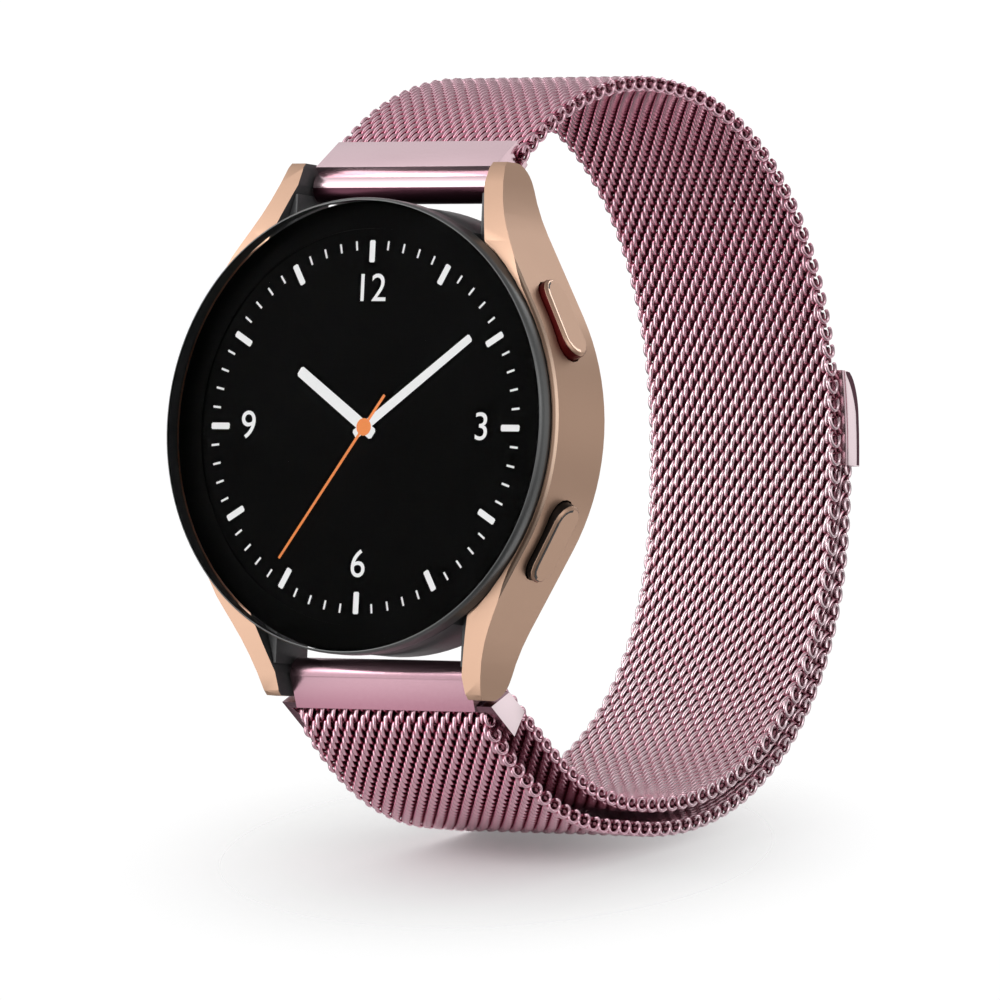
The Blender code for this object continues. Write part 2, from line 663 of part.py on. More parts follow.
def build_buttons():
    """Push keys in the case wall, with a seal round each stem and a dome switch behind it."""
    centre = (0, BUTTON_DEPTH)
    for name, angle, material in (("upper", BUTTON_ANGLE, GOLD), ("lower", -BUTTON_ANGLE, GOLD)):
        place = on_wall(angle)
        edge = BUTTON_TOP - BUTTON_CROWN
        base = edge - BUTTON_THICKNESS
        full = pill(centre, BUTTON_LENGTH, BUTTON_WIDTH)
        crown = pill(centre, BUTTON_LENGTH, BUTTON_WIDTH, -BUTTON_CROWN)
        key = loft(f"{name}_button", [(full, base), (full, edge), (crown, BUTTON_TOP)], place, material)
        round_stem = circle(centre, STEM_RADIUS, SMALL_SEGMENTS)
        stem_low = stem_inner_radius()
        stem = prism(f"{name}_stem", round_stem, stem_low, base + BUTTON_CROWN, place, PLAIN)
        combine(key, stem, "UNION")
        hang(pivot(f"{name}_press_axis", place(*centre, BUTTON_TOP)), key)

        floor = pocket_floor_radius()
        seal = prism(f"{name}_button_seal", circle(centre, SEAL_RADIUS, SMALL_SEGMENTS),
                     floor - SEAL_THICKNESS, floor, place, RUBBER)
        bore = circle(centre, STEM_RADIUS + STEM_CLEARANCE, SMALL_SEGMENTS)
        cut(seal, prism(f"{name}_seal_bore", bore, floor - OVERCUT, floor + OVERCUT, place, PLAIN))
        top = stem_low - BUTTON_TRAVEL - SWITCH_REST_GAP
        outline = rectangle(centre, *SWITCH_SIZE)
        prism(f"{name}_switch", outline, top - SWITCH_HEIGHT, top, place, PLASTIC)


def unit(angle):
    return Vector((math.cos(angle), math.sin(angle)))


def strap_quadrant(centre, half_depth, half_height, upper, offset, steps):
    """Rear quarter of the band: a squarish oval from its top or bottom to its rearmost point."""
    power = 2 / STRAP_SQUARENESS
    points = []
    for i in range(steps + 1):
        turn = math.pi / 2 * (1 - i / steps)
        y = centre[0] + (half_depth + offset) * math.cos(turn) ** power if i else centre[0]
        z = (half_height + offset) * math.sin(turn) ** power if i < steps else 0
        points.append(Vector((y, centre[1] + (z if upper else -z))))
    return points


def upper_rear(offset, steps=48):
    centre = (STRAP_TOP_Y, STRAP_REAR_Z)
    size = (STRAP_REAR_Y - STRAP_TOP_Y, STRAP_TOP_Z - STRAP_REAR_Z)
    return strap_quadrant(centre, *size, True, offset, steps)


def lower_rear(offset, steps=48):
    centre = (STRAP_BOTTOM_Y, STRAP_REAR_Z)
    size = (STRAP_REAR_Y - STRAP_BOTTOM_Y, STRAP_REAR_Z - STRAP_BOTTOM_Z)
    return strap_quadrant(centre, *size, False, offset, steps)


def fold_centre():
    return Vector((PIVOT_Y + FOLD_BACK, -PIVOT_Z - FOLD_DROP))


def leg_directions(angle):
    """Heading of a strap leg that leaves the loop, and the side that faces the wrist."""
    return Vector((math.cos(angle), -math.sin(angle))), Vector((math.sin(angle), math.cos(angle)))


def vector_arc(centre, radius, start, end, steps):
    return [centre + radius * unit(start + (end - start) * i / steps) for i in range(steps + 1)]


def strap_path():
    """Mid-line of the whole strap in Y and Z, from the upper connector to the clasp."""
    half = STRAP_THICKNESS / 2
    top_centre = Vector((STRAP_TOP_Y, STRAP_TOP_Z - STRAP_TOP_RADIUS))
    start = math.acos(-STRAP_TOP_RUN / STRAP_TOP_RADIUS)
    path = vector_arc(top_centre, STRAP_TOP_RADIUS - half, start, math.pi / 2, 24)
    path += upper_rear(-half)[1:]
    path += list(reversed(lower_rear(-half)))[1:]

    fold = fold_centre()
    heading, inner = leg_directions(INNER_LEG_ANGLE)
    reach = LOOP_BAR_RADIUS + FOLD_CLEARANCE
    bottom = Vector((STRAP_BOTTOM_Y, STRAP_BOTTOM_Z))
    radius = (inner.dot(bottom) - inner.dot(fold) - reach) / (1 - inner.y)
    centre = bottom + Vector((0, radius))
    path += vector_arc(centre, radius - half, -math.pi / 2, -math.pi / 2 - INNER_LEG_ANGLE, 20)[1:]

    middle = reach + half
    turn_start = math.pi / 2 - INNER_LEG_ANGLE
    turn_end = 1.5 * math.pi - TAIL_LEG_ANGLE
    path += vector_arc(fold, middle, turn_start, turn_end, 16)

    heading, outer = leg_directions(TAIL_LEG_ANGLE)
    leave = fold - outer * middle
    tail_bottom = STRAP_BOTTOM_Z - TAIL_GAP - half
    radius = (leave.y - tail_bottom) / (1 - outer.y)
    centre = leave + outer * radius
    path += vector_arc(centre, radius, -math.pi / 2 - TAIL_LEG_ANGLE, -math.pi / 2, 24)[1:]
    path += lower_rear(TAIL_GAP + half)[1 if centre.x > STRAP_BOTTOM_Y else 0:]
    tail_end = CLASP_LOW_Z + CLASP_MOUTH - CLASP_FIT
    path += [p for p in reversed(upper_rear(TAIL_GAP + half)[:-1]) if p.y < tail_end]
    return path


def measure(path):
    """Distance along a path to each of its points."""
    distance = [0.0]
    for a, b in zip(path, path[1:]):
        distance.append(distance[-1] + (b - a).length)
    return distance


def sample(path, distance, where):
    """Point and heading at a distance along a path."""
    for i in range(len(path) - 1):
        if distance[i + 1] >= where or i == len(path) - 2:
            share = (where - distance[i]) / (distance[i + 1] - distance[i])
            return path[i].lerp(path[i + 1], share), (path[i + 1] - path[i]).normalized()


def nearest(path, distance, point):
    index = min(range(len(path)), key=lambda i: (path[i] - point).length)
    return distance[index]


def weave_half(distance, row):
    """Half the strap's thickness at a distance: a crest on each row of coils and a groove between rows."""
    share = distance / row % 1
    crest = 1 - abs(2 * share - 1)
    return STRAP_THICKNESS / 2 - WEAVE_DEPTH * (1 - crest)


def strap_piece(name, path, distance, start, end):
    """A length of strap between two distances along its path, with a rib for each row of coils."""
    rows = 2 * round(distance[-1] / WEAVE_ROW / 2)
    row = distance[-1] / rows
    margin = row / 10
    places = [start]
    places += [i * row / 2 for i in range(2 * rows + 1) if start + margin < i * row / 2 < end - margin]
    stations = []
    for where in places + [end]:
        point, heading = sample(path, distance, where)
        side = Vector((-heading.y, heading.x)) * weave_half(where, row)
        stations.append((point + side, point - side))
    return slab(name, stations, -STRAP_HALF, STRAP_HALF, MESH)


def slab(name, stations, low, high, material):
    """A closed strip swept through pairs of points in Y and Z, between two X positions."""
    bm = bmesh.new()
    rings = []
    for first, second in stations:
        corners = [(low, first), (high, first), (high, second), (low, second)]
        rings.append([bm.verts.new((x, p.x, p.y)) for x, p in corners])
    for near, far in zip(rings, rings[1:]):
        for i in range(4):
            j = (i + 1) % 4
            bm.faces.new((near[i], near[j], far[j], far[i]))
    bm.faces.new(rings[0])
    bm.faces.new(rings[-1])
    return make_object(name, bm, material)


def build_strap():
    path = strap_path()
    distance = measure(path)
    fold = fold_centre()
    turn = LOOP_BAR_RADIUS + FOLD_CLEARANCE + STRAP_THICKNESS / 2
    inner = leg_directions(INNER_LEG_ANGLE)[1]
    outer = leg_directions(TAIL_LEG_ANGLE)[1]
    fold_start = nearest(path, distance, fold + inner * turn) - FOLD_LEG_LENGTH
    fold_end = nearest(path, distance, fold - outer * turn) + FOLD_LEG_LENGTH
    gap = STRAP_JOIN_GAP / 2
    strap_piece("strap_top_flex", path, distance, 0, TOP_FLEX_LENGTH - gap)
    strap_piece("strap_main", path, distance, TOP_FLEX_LENGTH + gap, fold_start - gap)
    strap_piece("strap_fold", path, distance, fold_start + gap, fold_end - gap)
    tail = strap_piece("strap_tail", path, distance, fold_end + gap, distance[-1])
    return path, tail


def bar_cutter(name, side):
    bore = circle((PIVOT_Y, side * PIVOT_Z), BAR_RADIUS + BAR_CLEARANCE, SMALL_SEGMENTS)
    reach = LUG_INNER_X + OVERCUT
    return prism(name, bore, -reach, reach, across, PLAIN)


def knob_slot(name, side, start):
    """Cutter for the slot that a release knob slides in, from a distance behind the bar's axis."""
    half = KNOB_RADIUS + KNOB_SLOT_CLEARANCE
    centre = (PIVOT_Y + start + OVERCUT / 2, side * PIVOT_Z)
    outline = rectangle(centre, OVERCUT, 2 * half)
    return prism(name, outline, KNOB_X - RELEASE_TRAVEL - half, KNOB_X + half, across, PLAIN)


def build_spring_bar(name, side, empty):
    """Bar tube with a fixed tip, a sliding release pin with its knob, and the spring between them."""
    axis = (PIVOT_Y, side * PIVOT_Z)
    end = LUG_INNER_X - BAR_END_GAP
    tip = LUG_INNER_X + TIP_ENGAGEMENT
    tube = prism(f"{name}_bar", circle(axis, BAR_RADIUS, SMALL_SEGMENTS), -end, end, across, STEEL)
    fixed = circle(axis, TIP_RADIUS, SMALL_SEGMENTS)
    overlap = BAR_END_GAP
    combine(tube, prism(f"{name}_fixed_tip", fixed, -tip, overlap - end, across, PLAIN), "UNION")
    bore = circle(axis, BAR_BORE_RADIUS, SMALL_SEGMENTS)
    cut(tube, prism(f"{name}_bar_bore", bore, SPRING_START, end + OVERCUT, across, PLAIN))
    cut(tube, knob_slot(f"{name}_bar_slot", side, BAR_BORE_RADIUS / 2))

    pin = prism(f"{name}_release", fixed, RELEASE_PIN_START, tip, across, STEEL)
    post = circle((KNOB_X, side * PIVOT_Z), KNOB_RADIUS, TINY_SEGMENTS)
    shaft = prism(f"{name}_knob", post, PIVOT_DEPTH, PIVOT_DEPTH + KNOB_LENGTH, through_head, PLAIN)
    combine(pin, shaft, "UNION")
    coil = circle(axis, SPRING_RADIUS, TINY_SEGMENTS)
    low, high = SPRING_START + SPRING_END_GAP, RELEASE_PIN_START - SPRING_END_GAP
    spring = prism(f"{name}_spring", coil, low, high, across, STEEL)
    hang(empty, tube, spring)
    slide = pivot(f"{name}_release_axis", (KNOB_X, *axis))
    hang(slide, pin)


def barrel_points(side, start, end, steps):
    return arc((PIVOT_Y, side * PIVOT_Z), BARREL_RADIUS, math.radians(start), math.radians(end), steps)


def build_top_connector(path):
    """Solid connector: a barrel on the spring bar and a sloping plate whose mouth grips the strap."""
    start = path[0]
    heading = (path[1] - path[0]).normalized()
    outward = Vector((-heading.y, heading.x))
    mouth = start + heading * MOUTH_DEPTH
    half = STRAP_THICKNESS / 2 + MOUTH_CLEARANCE
    outer_lip = mouth + outward * (half + LIP_THICKNESS)
    inner_lip = mouth - outward * (half + LIP_THICKNESS)
    plate_low = (PIVOT_Y - PLATE_STEP_FRONT, PIVOT_Z + PLATE_STEP_UP)
    outline = [tuple(outer_lip), plate_low] + barrel_points(1, 120, 340, 14) + [tuple(inner_lip)]
    width = LUG_INNER_X - CONNECTOR_GAP
    connector = prism("top_connector", outline, -width, width, across, ROSE)
    back = start - heading * MOUTH_CLEARANCE
    ahead = mouth + heading * OVERCUT
    slot = [back + outward * half, back - outward * half, ahead - outward * half, ahead + outward * half]
    reach = STRAP_HALF + OVERCUT
    cut(connector, prism("top_mouth", [tuple(p) for p in slot], -reach, reach, across, PLAIN))
    cut(connector, bar_cutter("top_connector_bore", 1))
    cut(connector, knob_slot("top_connector_slot", 1, 0))
    empty = pivot("top_link_axis", (0, PIVOT_Y, PIVOT_Z))
    hang(empty, connector)
    build_spring_bar("top", 1, empty)


def passage_outline():
    """The way that the strap takes round the loop's bar, with room to move."""
    fold = fold_centre()
    heading_in, inner = leg_directions(INNER_LEG_ANGLE)
    heading_out, outer = leg_directions(TAIL_LEG_ANGLE)
    near = LOOP_BAR_RADIUS
    far = near + FOLD_CLEARANCE + STRAP_THICKNESS + LOOP_PASSAGE_CLEARANCE
    start = math.pi / 2 - INNER_LEG_ANGLE
    end = 1.5 * math.pi - TAIL_LEG_ANGLE
    leg = 2 * OVERCUT
    points = [fold + inner * near + heading_in * leg]
    points += vector_arc(fold, near, start, end, 14)
    points += [fold - outer * near + heading_out * leg, fold - outer * far + heading_out * leg]
    points += vector_arc(fold, far, end, start, 14)
    points.append(fold + inner * far + heading_in * leg)
    return [tuple(p) for p in points]


def build_bottom_loop():
    """Slotted connector: a barrel, a front plate, and a bar held by cheeks that the strap folds round."""
    plate_top = (PIVOT_Y - LOOP_PLATE_STEP, -PIVOT_Z - LOOP_PLATE_TOP)
    plate_low = (plate_top[0] + LOOP_PLATE_SLOPE, -PIVOT_Z - LOOP_PLATE_LOW)
    lip = (plate_low[0] + 2 * LIP_THICKNESS, plate_low[1])
    rear = (PIVOT_Y + BARREL_RADIUS, -PIVOT_Z - BARREL_RADIUS)
    outline = barrel_points(-1, -15, 190, 14) + [plate_top, plate_low, lip, rear]
    width = LUG_INNER_X - CONNECTOR_GAP
    loop = prism("bottom_loop", outline, -width, width, across, ROSE)

    fold = fold_centre()
    heading, inner = leg_directions(INNER_LEG_ANGLE)
    side = inner * LOOP_CHEEK_HALF
    foot = fold + heading * LOOP_BAR_LENGTH
    cheek = [fold - heading * LOOP_CHEEK_FRONT - side, foot - side, foot + side]
    cheek.append(fold - heading * LOOP_CHEEK_REAR + side)
    clear = STRAP_HALF + LOOP_SIDE_CLEARANCE
    reach = clear + LOOP_CHEEK_THICKNESS
    block = prism("loop_cheeks", [tuple(p) for p in cheek], -reach, reach, across, PLAIN)
    combine(loop, block, "UNION")
    cut(loop, prism("loop_passage", passage_outline(), -clear, clear, across, PLAIN))
    cut(loop, bar_cutter("bottom_loop_bore", -1))
    cut(loop, knob_slot("bottom_loop_slot", -1, 0))
    empty = pivot("bottom_loop_axis", (0, PIVOT_Y, -PIVOT_Z))
    hang(empty, loop)
    build_spring_bar("bottom", -1, empty)


def rear_curve(offset, low, high, count):
    """Points on the rear of the band between two heights, at an offset from the inner run."""
    half_depth = STRAP_REAR_Y - STRAP_TOP_Y + offset
    half_height = STRAP_TOP_Z - STRAP_REAR_Z + offset
    points = []
    for i in range(count + 1):
        z = low + (high - low) * i / count
        share = ((z - STRAP_REAR_Z) / half_height) ** STRAP_SQUARENESS
        points.append(Vector((STRAP_TOP_Y + half_depth * (1 - share) ** (1 / STRAP_SQUARENESS), z)))
    return points


def rear_slab(name, low, high, inner, outer, x_low, x_high, material, count=2):
    pairs = zip(rear_curve(inner, low, high, count), rear_curve(outer, low, high, count))
    return slab(name, list(pairs), x_low, x_high, material)


def build_clasp(tail):
    """Metal clasp on the strap's end: a tapered shell, two magnets and a cover plate."""
    half = STRAP_HALF + CLASP_SIDE_LIP
    plate_outer = CLASP_GAP + CLASP_PLATE_THICKNESS
    shell_inner = plate_outer + CLASP_FIT
    straight = list(zip(rear_curve(shell_inner, CLASP_LOW_Z, CLASP_TAPER_Z, 3),
                        rear_curve(CLASP_SHELL_OUTER, CLASP_LOW_Z, CLASP_TAPER_Z, 3)))
    steps = 5
    inner_points = rear_curve(shell_inner, CLASP_TAPER_Z, CLASP_HIGH_Z, steps)
    for i in range(1, steps + 1):
        share = i / steps
        drop = 1 - math.sqrt(1 - share * share)
        outer = CLASP_SHELL_OUTER - (CLASP_SHELL_OUTER - CLASP_TIP_OUTER) * drop
        point = rear_curve(outer, CLASP_TAPER_Z, CLASP_HIGH_Z, steps)[i]
        straight.append((inner_points[i], point))
    shell = slab("clasp_shell", straight, -half, half, ROSE)
    mouth_top = CLASP_LOW_Z + CLASP_MOUTH
    low = TAIL_GAP - MOUTH_CLEARANCE
    high = TAIL_GAP + STRAP_THICKNESS + MOUTH_CLEARANCE
    reach = STRAP_HALF + CLASP_FIT
    cut(shell, rear_slab("clasp_mouth", CLASP_LOW_Z - OVERCUT / 2, mouth_top, low, high, -reach, reach, PLAIN))

    bottom = mouth_top + 2 * CLASP_FIT
    top = bottom + MAGNET_LENGTH
    deep = shell_inner + MAGNET_THICKNESS
    magnets = []
    for number, x in ((1, -STRAP_WIDTH / 4), (2, STRAP_WIDTH / 4)):
        low_x, high_x = x - MAGNET_WIDTH / 2, x + MAGNET_WIDTH / 2
        fit = CLASP_FIT
        pocket = rear_slab(f"clasp_pocket_{number}", bottom - fit, top + fit, CLASP_GAP, deep + fit,
                           low_x - fit, high_x + fit, PLAIN)
        cut(shell, pocket)
        magnets.append(rear_slab(f"clasp_magnet_{number}", bottom, top, shell_inner, deep, low_x, high_x, STEEL))
    plate = rear_slab("clasp_plate", CLASP_LOW_Z, CLASP_HIGH_Z, CLASP_GAP, plate_outer, -half, half, ROSE, 6)
    fold = fold_centre()
    hang(pivot("tail_axis", (0, *fold)), tail, shell, plate, *magnets)


clear_scene()
PLAIN = finish("cutter", (0.5, 0.5, 0.5), 0.5, 0.0)
GOLD = finish("pink_gold_aluminium", (0.62, 0.41, 0.31), 0.32, 1.0)
GLASS = finish("black_glass", (0.004, 0.004, 0.005), 0.06, 0.0)
DISPLAY = finish("display_layers", (0.01, 0.01, 0.012), 0.3, 0.0)
RUBBER = finish("black_rubber", (0.015, 0.015, 0.016), 0.7, 0.0)
PLASTIC = finish("black_plastic", (0.02, 0.02, 0.022), 0.5, 0.0)
DARK = finish("dark_grey_plastic", (0.05, 0.05, 0.052), 0.45, 0.0)
BOARD = finish("green_board", (0.02, 0.12, 0.06), 0.5, 0.0)
CELL = finish("cell_foil", (0.55, 0.55, 0.57), 0.4, 0.6)
COPPER = finish("copper_wire", (0.72, 0.33, 0.17), 0.35, 1.0)
STEEL = finish("plain_steel", (0.56, 0.55, 0.54), 0.3, 1.0)
ROSE = finish("rose_polished_steel", (0.62, 0.34, 0.40), 0.18, 1.0)
MESH = finish("rose_woven_steel", (0.58, 0.29, 0.36), 0.3, 1.0)

build_case()
build_electronics(build_glass_stack())
build_back()
build_saddles()
build_buttons()
strap_line, strap_tail = build_strap()
build_top_connector(strap_line)
build_bottom_loop()
build_clasp(strap_tail)
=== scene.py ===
"""Round smartwatch on a woven-mesh loop band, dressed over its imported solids.

Metres. +X points to 3 o'clock, +Z to 12 o'clock and +Y to the wrist.
"""

import math

import bpy
import numpy as np
from mathutils import Matrix, Vector


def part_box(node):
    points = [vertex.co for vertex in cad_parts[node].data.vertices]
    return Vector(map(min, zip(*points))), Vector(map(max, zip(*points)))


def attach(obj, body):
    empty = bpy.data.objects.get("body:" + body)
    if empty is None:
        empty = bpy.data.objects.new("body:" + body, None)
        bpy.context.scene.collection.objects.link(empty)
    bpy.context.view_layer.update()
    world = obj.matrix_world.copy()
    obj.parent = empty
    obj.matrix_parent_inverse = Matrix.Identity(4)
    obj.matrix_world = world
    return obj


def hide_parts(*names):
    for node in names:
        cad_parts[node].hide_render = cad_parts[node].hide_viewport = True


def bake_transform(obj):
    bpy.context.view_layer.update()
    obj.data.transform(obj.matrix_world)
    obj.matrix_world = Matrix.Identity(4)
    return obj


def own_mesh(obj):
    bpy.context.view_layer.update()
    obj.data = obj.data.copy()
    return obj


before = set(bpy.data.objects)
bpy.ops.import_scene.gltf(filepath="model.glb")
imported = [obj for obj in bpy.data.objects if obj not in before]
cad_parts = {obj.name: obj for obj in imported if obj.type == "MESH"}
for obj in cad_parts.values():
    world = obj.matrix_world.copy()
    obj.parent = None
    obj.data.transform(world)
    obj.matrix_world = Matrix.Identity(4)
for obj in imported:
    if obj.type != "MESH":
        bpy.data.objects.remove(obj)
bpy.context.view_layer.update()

# Inner carrier and electronics. A moulded bracket holds the green board, the wrapped cell, the shield can,
# the vibration motor, the speaker and four screws. These, the seals, the switches, the spring bars, the
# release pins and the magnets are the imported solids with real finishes.


class Socket:
    """One output of a node tree. Sums and products of sockets add Math nodes to the tree."""

    def __init__(self, tree, output):
        self.tree = tree
        self.output = output

    def node(self, kind, settings, inputs, output=0):
        made = self.tree.nodes.new(kind)
        for name, value in settings.items():
            setattr(made, name, value)
        for name, value in inputs.items():
            if isinstance(value, Socket):
                self.tree.links.new(value.output, made.inputs[name])
            else:
                made.inputs[name].default_value = value
        return Socket(self.tree, made.outputs[output])

    def maths(self, operation, first, second):
        return self.node("ShaderNodeMath", {"operation": operation}, {0: first, 1: second})

    def __add__(self, other):
        return self.maths("ADD", self, other)

    def __radd__(self, other):
        return self.maths("ADD", other, self)

    def __sub__(self, other):
        return self.maths("SUBTRACT", self, other)

    def __rsub__(self, other):
        return self.maths("SUBTRACT", other, self)

    def __mul__(self, other):
        return self.maths("MULTIPLY", self, other)

    def __rmul__(self, other):
        return self.maths("MULTIPLY", other, self)

    def __truediv__(self, other):
        return self.maths("DIVIDE", self, other)

    def __pow__(self, other):
        return self.maths("POWER", self, other)


def new_finish(name, roughness, metallic=0.0):
    """A new material: itself, its shader's sockets, and the place on the object that its patterns read."""
    material = bpy.data.materials.new(name)
    material.use_nodes = True
    tree = material.node_tree
    shader = tree.nodes["Principled BSDF"].inputs
    shader["Roughness"].default_value = roughness
    shader["Metallic"].default_value = metallic
    place = Socket(tree, tree.nodes.new("ShaderNodeTexCoord").outputs["Object"])
    return material, shader, place


def feed(shader, name, socket):
    socket.tree.links.new(socket.output, shader[name])


def noise(place, scale, detail=2.0):
    return place.node("ShaderNodeTexNoise", {}, {"Vector": place, "Scale": scale, "Detail": detail})


def ramp(value, low, high):
    """Zero below low, one above high, and a smooth rise between them."""
    settings = {"interpolation_type": "SMOOTHSTEP"}
    return value.node("ShaderNodeMapRange", settings, {0: value, 1: low, 2: high, 3: 0.0, 4: 1.0})


def blend_colours(share, first, second):
    ends = [end if isinstance(end, Socket) else (*end, 1.0) for end in (first, second)]
    return share.node("ShaderNodeMix", {"data_type": "RGBA"}, {0: share, 6: ends[0], 7: ends[1]}, 2)


def relief(height, depth, strength=1.0):
    """A bump of a depth in metres."""
    return height.node("ShaderNodeBump", {}, {"Strength": strength, "Distance": depth, "Height": height})


def parts_of(place):
    """X, Y and Z of a place, each as its own socket."""
    split = place.tree.nodes.new("ShaderNodeSeparateXYZ")
    place.tree.links.new(place.output, split.inputs[0])
    return [Socket(place.tree, output) for output in split.outputs]


def paint(material, slot, *names):
    """Give kept solids a finish."""
    for name in names:
        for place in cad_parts[name].material_slots:
            place.material = material


def moulded(name, dark, light, roughness):
    """Moulded plastic: a fine spark-eroded grain and a slow drift in tone."""
    material, shader, place = new_finish(name, roughness)
    grain = noise(place, 5200, 3)
    drift = noise(place, 90, 2)
    feed(shader, "Base Color", blend_colours(grain * 0.6 + drift * 0.4, dark, light))
    feed(shader, "Roughness", roughness - 0.08 + grain * 0.16)
    feed(shader, "Normal", relief(grain, 0.00002, 0.35))
    return material


black_plastic = moulded("black_moulding", (0.010, 0.010, 0.011), (0.026, 0.026, 0.028), 0.5)
paint(black_plastic, "black_plastic", "inner_bracket", "upper_switch", "lower_switch")

rubber = moulded("black_rubber", (0.008, 0.008, 0.008), (0.02, 0.02, 0.021), 0.72)
paint(rubber, "rubber", "front_gasket", "back_gasket", "upper_button_seal", "lower_button_seal")

circuit, circuit_shader, place = new_finish("green_circuit_board", 0.42)
track_pattern = {"Vector": place, "Scale": 900, "Randomness": 0.9}
tracks = place.node("ShaderNodeTexVoronoi", {"distance": "MANHATTAN"}, track_pattern)
copper_under = ramp(tracks, 0.30, 0.36)
weave_under = noise(place, 2600, 2)
mask_colour = blend_colours(weave_under, (0.006, 0.055, 0.025), (0.012, 0.095, 0.04))
pads = 1 - ramp(tracks, 0.10, 0.14)
traced = blend_colours(copper_under * 0.6, mask_colour, (0.03, 0.18, 0.07))
feed(circuit_shader, "Base Color", blend_colours(pads, traced, (0.62, 0.45, 0.16)))
feed(circuit_shader, "Metallic", pads * 0.9)
feed(circuit_shader, "Normal", relief(copper_under + pads, 0.00003, 0.5))
paint(circuit, "board", "main_board", "sensor_board")

cell, cell_shader, place = new_finish("cell_wrap", 0.38, 0.35)
creases = noise(place, 420, 4)
feed(cell_shader, "Base Color", blend_colours(creases, (0.05, 0.052, 0.06), (0.14, 0.145, 0.155)))
feed(cell_shader, "Roughness", 0.26 + creases * 0.25)
feed(cell_shader, "Normal", relief(creases, 0.0001, 0.5))
paint(cell, "cell", "battery")


def brushed(name, dark, light, roughness, axis, depth=0.000004):
    """Metal with fine brush marks that run along one axis."""
    material, shader, place = new_finish(name, roughness, 1.0)
    across_marks, along_marks = 9000.0, 260.0
    stretch = [across_marks] * 3
    stretch[axis] = along_marks
    stretched = place.node("ShaderNodeVectorMath", {"operation": "MULTIPLY"}, {0: place, 1: stretch})
    marks = noise(stretched, 1.0, 3)
    drift = noise(place, 130, 2)
    feed(shader, "Base Color", blend_colours(marks * 0.45 + drift * 0.55, dark, light))
    feed(shader, "Roughness", roughness - 0.06 + marks * 0.12)
    feed(shader, "Normal", relief(marks, depth, 0.5))
    return material


steel = brushed("plain_steel", (0.42, 0.42, 0.43), (0.66, 0.66, 0.67), 0.3, 0)
paint(steel, "steel", "shield_can", "haptic_motor", "speaker", "clasp_magnet_1", "clasp_magnet_2")
paint(steel, "steel", *[f"bracket_screw_{number}" for number in range(1, 5)])
paint(steel, "steel", *[f"{end}_{part}" for end in ("top", "bottom") for part in ("bar", "release")])

copper, copper_shader, place = new_finish("wound_copper", 0.32, 1.0)
coil_x, _, coil_z = parts_of(place)
coil_radius = (coil_x * coil_x + coil_z * coil_z) ** 0.5
phase_per_metre = 21000
turns = coil_radius.node("ShaderNodeMath", {"operation": "SINE"}, {0: coil_radius * phase_per_metre})
copper_share = turns * 0.5 + 0.5
feed(copper_shader, "Base Color", blend_colours(copper_share, (0.34, 0.12, 0.05), (0.86, 0.42, 0.22)))
feed(copper_shader, "Normal", relief(turns, 0.00008, 0.8))
paint(copper, "copper", "charging_coil")

# Case frame. One milled aluminium ring with four lugs, bead-blasted and anodised pink gold. The solid is
# copied, the lugs' ends are rounded like fingertips, and the other sharp edges are broken. The lugs' inner
# faces take the dark grey moulding finish as painted shade. The chamfer round the glass is painted a lighter
# metal colour as a painted highlight, and darker along its front edge beside the glass as painted shade.


def alone(piece):
    """Make one object the only selected and active one."""
    bpy.ops.object.select_all(action="DESELECT")
    piece.select_set(True)
    bpy.context.view_layer.objects.active = piece


def add_piece(name, mesh):
    piece = bpy.data.objects.new(name, mesh)
    bpy.context.scene.collection.objects.link(piece)
    alone(piece)
    return piece


def round_edges(piece, radius, segments, wanted=None):
    """Round every sharp edge, or only those whose middle the test wanted picks out."""
    alone(piece)
    bpy.ops.object.mode_set(mode="EDIT")
    bpy.ops.mesh.select_mode(type="EDGE")
    bpy.ops.mesh.select_all(action="DESELECT")
    bpy.ops.mesh.edges_select_sharp(sharpness=math.radians(30))
    bpy.ops.object.mode_set(mode="OBJECT")
    if wanted:
        for edge in piece.data.edges:
            ends = [piece.data.vertices[i].co for i in edge.vertices]
            edge.select = edge.select and wanted((ends[0] + ends[1]) / 2)
    bpy.ops.object.mode_set(mode="EDIT")
    bpy.ops.mesh.bevel(offset=radius, segments=segments, affect="EDGES", clamp_overlap=True)
    bpy.ops.mesh.select_mode(type="FACE")
    bpy.ops.object.mode_set(mode="OBJECT")
    bpy.ops.object.shade_smooth_by_angle(angle=math.radians(24))


def merged_copy(node, name):
    """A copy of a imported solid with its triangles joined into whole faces."""
    piece = add_piece(name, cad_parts[node].data.copy())
    bpy.ops.mesh.customdata_custom_splitnormals_clear()
    bpy.ops.object.mode_set(mode="EDIT")
    bpy.ops.mesh.select_all(action="SELECT")
    bpy.ops.mesh.remove_doubles(threshold=0.000002)
    bpy.ops.mesh.dissolve_limited(angle_limit=math.radians(0.8))
    bpy.ops.object.mode_set(mode="OBJECT")
    return piece


def rounded_copy(node, name, radius, segments=4):
    """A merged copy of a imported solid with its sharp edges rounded."""
    piece = merged_copy(node, name)
    round_edges(piece, radius, segments)
    return piece


def dress(piece, material, body, slot, *nodes):
    """Give a new piece its finish, its body and the solids that it stands for."""
    piece.data.materials.clear()
    piece.data.materials.append(material)
    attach(piece, body)
    if nodes:
        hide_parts(*nodes)


pink_gold, gold_shader, place = new_finish("pink_gold_anodised", 0.4, 1.0)
blast = noise(place, 7000, 2)
drift = noise(place, 70, 3)
gold_share = blast * 0.35 + drift * 0.65
feed(gold_shader, "Base Color", blend_colours(gold_share, (0.48, 0.303, 0.212), (0.57, 0.373, 0.272)))
feed(gold_shader, "Roughness", 0.38 + blast * 0.10)
feed(gold_shader, "Normal", relief(blast, 0.000006, 0.35))

